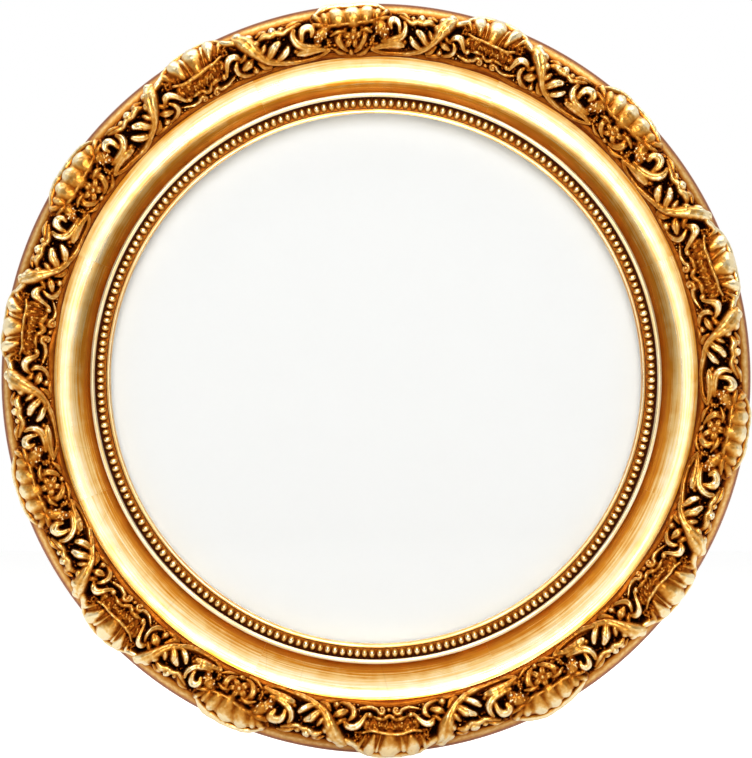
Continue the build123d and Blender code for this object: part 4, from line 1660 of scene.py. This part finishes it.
@dataclass(frozen=True)
class Lamp:
    """A soft light in the plane of the axis, turned to the frame's middle, in metres.

    The elevation is in degrees above the camera's axis, and the radiance is the
    brightness of the lamp's face, where the white background is one.
    """

    name: str
    elevation: float
    distance: float
    size: Pair
    radiance: float
    hidden_from: Rays | None = None

    def hang(self) -> None:
        """Hangs the lamp; an area light's power is its radiance times pi times its area."""
        data = bpy.data.lights.new(self.name, "AREA")
        data.shape = "RECTANGLE"
        data.size, data.size_y = self.size
        data.energy = self.radiance * pi * self.size[0] * self.size[1]
        lamp = bpy.data.objects.new(self.name, data)
        rise = radians(self.elevation)
        lamp.location = (0.0, -self.distance * cos(rise), self.distance * sin(rise))
        lamp.rotation_euler = (pi / 2 - rise, 0.0, 0.0)
        if self.hidden_from:
            setattr(lamp, self.hidden_from.value, False)
        bpy.context.scene.collection.objects.link(lamp)


@dataclass
class Studio:
    """Camera, lamps, surrounding light and pale floor, in metres.

    The reflector is a card that only gilding and glass mirror, and the backlight
    brightens the plain back without being mirrored.
    """

    distance: float = 5.0
    view_height: float = 0.4219
    view_depth: float = 0.016
    view_drop: float = 0.0004
    sensor_mm: float = 36.0
    far: float = 50.0
    lamps: tuple[Lamp, ...] = (
        Lamp("softbox", 24.0, 2.6, (1.3, 1.3), 6.4),
        Lamp("overhead", 90.0, 2.2, (4.4, 1.8), 2.0),
        Lamp("reflector", 26.0, 2.6, (1.3, 1.8), 3.7, Rays.DIFFUSE),
        Lamp("backlight", 150.0, 2.6, (1.3, 1.3), 5.0, Rays.GLOSSY),
    )
    fill_light: float = 0.18
    room: float = 0.33
    room_fade: Pair = (-0.6, -0.1)
    floor_half: float = 6.0
    floor_gap: float = 0.0004

    def camera(self) -> None:
        """A long lens straight in front of the frame, as in the photograph."""
        data = bpy.data.cameras.new("camera")
        data.sensor_width = self.sensor_mm
        data.lens = self.sensor_mm * self.distance / self.view_height
        data.clip_end = self.far
        camera = bpy.data.objects.new("camera", data)
        camera.location = (0.0, -self.distance - self.view_depth, -self.view_drop)
        camera.rotation_euler = (pi / 2, 0.0, 0.0)
        bpy.context.scene.collection.objects.link(camera)
        bpy.context.scene.camera = camera

    def surroundings(self) -> None:
        """White behind the frame, seen directly or in a mirror, and a dimmer room in front."""
        world = bpy.data.worlds.new("studio")
        world.use_nodes = True
        tree = world.node_tree
        add = partial(add_node, tree)
        rays = ("Is Camera Ray", "Is Transmission Ray", "Is Glossy Ray")
        camera, through, glossy = (add("LightPath", output=ray) for ray in rays)
        behind = add("SeparateXYZ", {0: add("TexCoord", output="Generated")}, "Y")
        near, away = self.room_fade
        mirrored = add("MapRange", {0: behind, 1: near, 2: away, 3: self.room, 4: 1.0})
        sharp = add("Math", {0: glossy, 1: through}, operation="MAXIMUM")
        strength = add("MapRange", {0: sharp, 3: self.fill_light, 4: mirrored})
        strength = add("Math", {0: strength, 1: camera}, operation="MAXIMUM")
        fill(tree, tree.nodes["Background"], {"Color": linear(WHITE), "Strength": strength})
        bpy.context.scene.world = world

    def floor(self) -> None:
        """A wide pale floor just under the frame."""
        low = (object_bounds()[0][2] - self.floor_gap) / MM
        half = self.floor_half / MM
        corners = np.array([[-half, -half, low], [half, -half, low], [half, half, low], [-half, half, low]])
        paper = PaleFloor("pale_floor").make()
        piece = mesh_piece("pale_floor", corners, np.array([[0, 1, 2, 3]]), [], paper)
        piece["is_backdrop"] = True

    def build(self) -> None:
        """Sets up the whole studio and the plain view settings."""
        self.camera()
        for lamp in self.lamps:
            lamp.hang()
        self.surroundings()
        self.floor()
        bpy.context.scene.view_settings.view_transform = "Standard"


def main() -> None:
    """Builds every sub-assembly in order."""
    logging.basicConfig(level=logging.INFO, format="%(message)s")
    pale = (Gold.GLEAM, Gold.PALE, Gold.SHELLAC, Gold.WASH_AND_SHADE)
    Moulding().build(GiltMoulding("water_gilt_gesso").make())
    SightSlip().build(GiltMoulding("burnished_gilt_slip", (0.22, 0.35), pale).make())
    PearlStrip().build(GiltOrnament("gilt_pearls", (0.2, 0.62)).make())
    Ornament().build(GiltOrnament("gilt_composition").make())
    PictureStack().build()
    BackParts().dress()
    Studio().build()


if __name__ == "__main__":
    main()
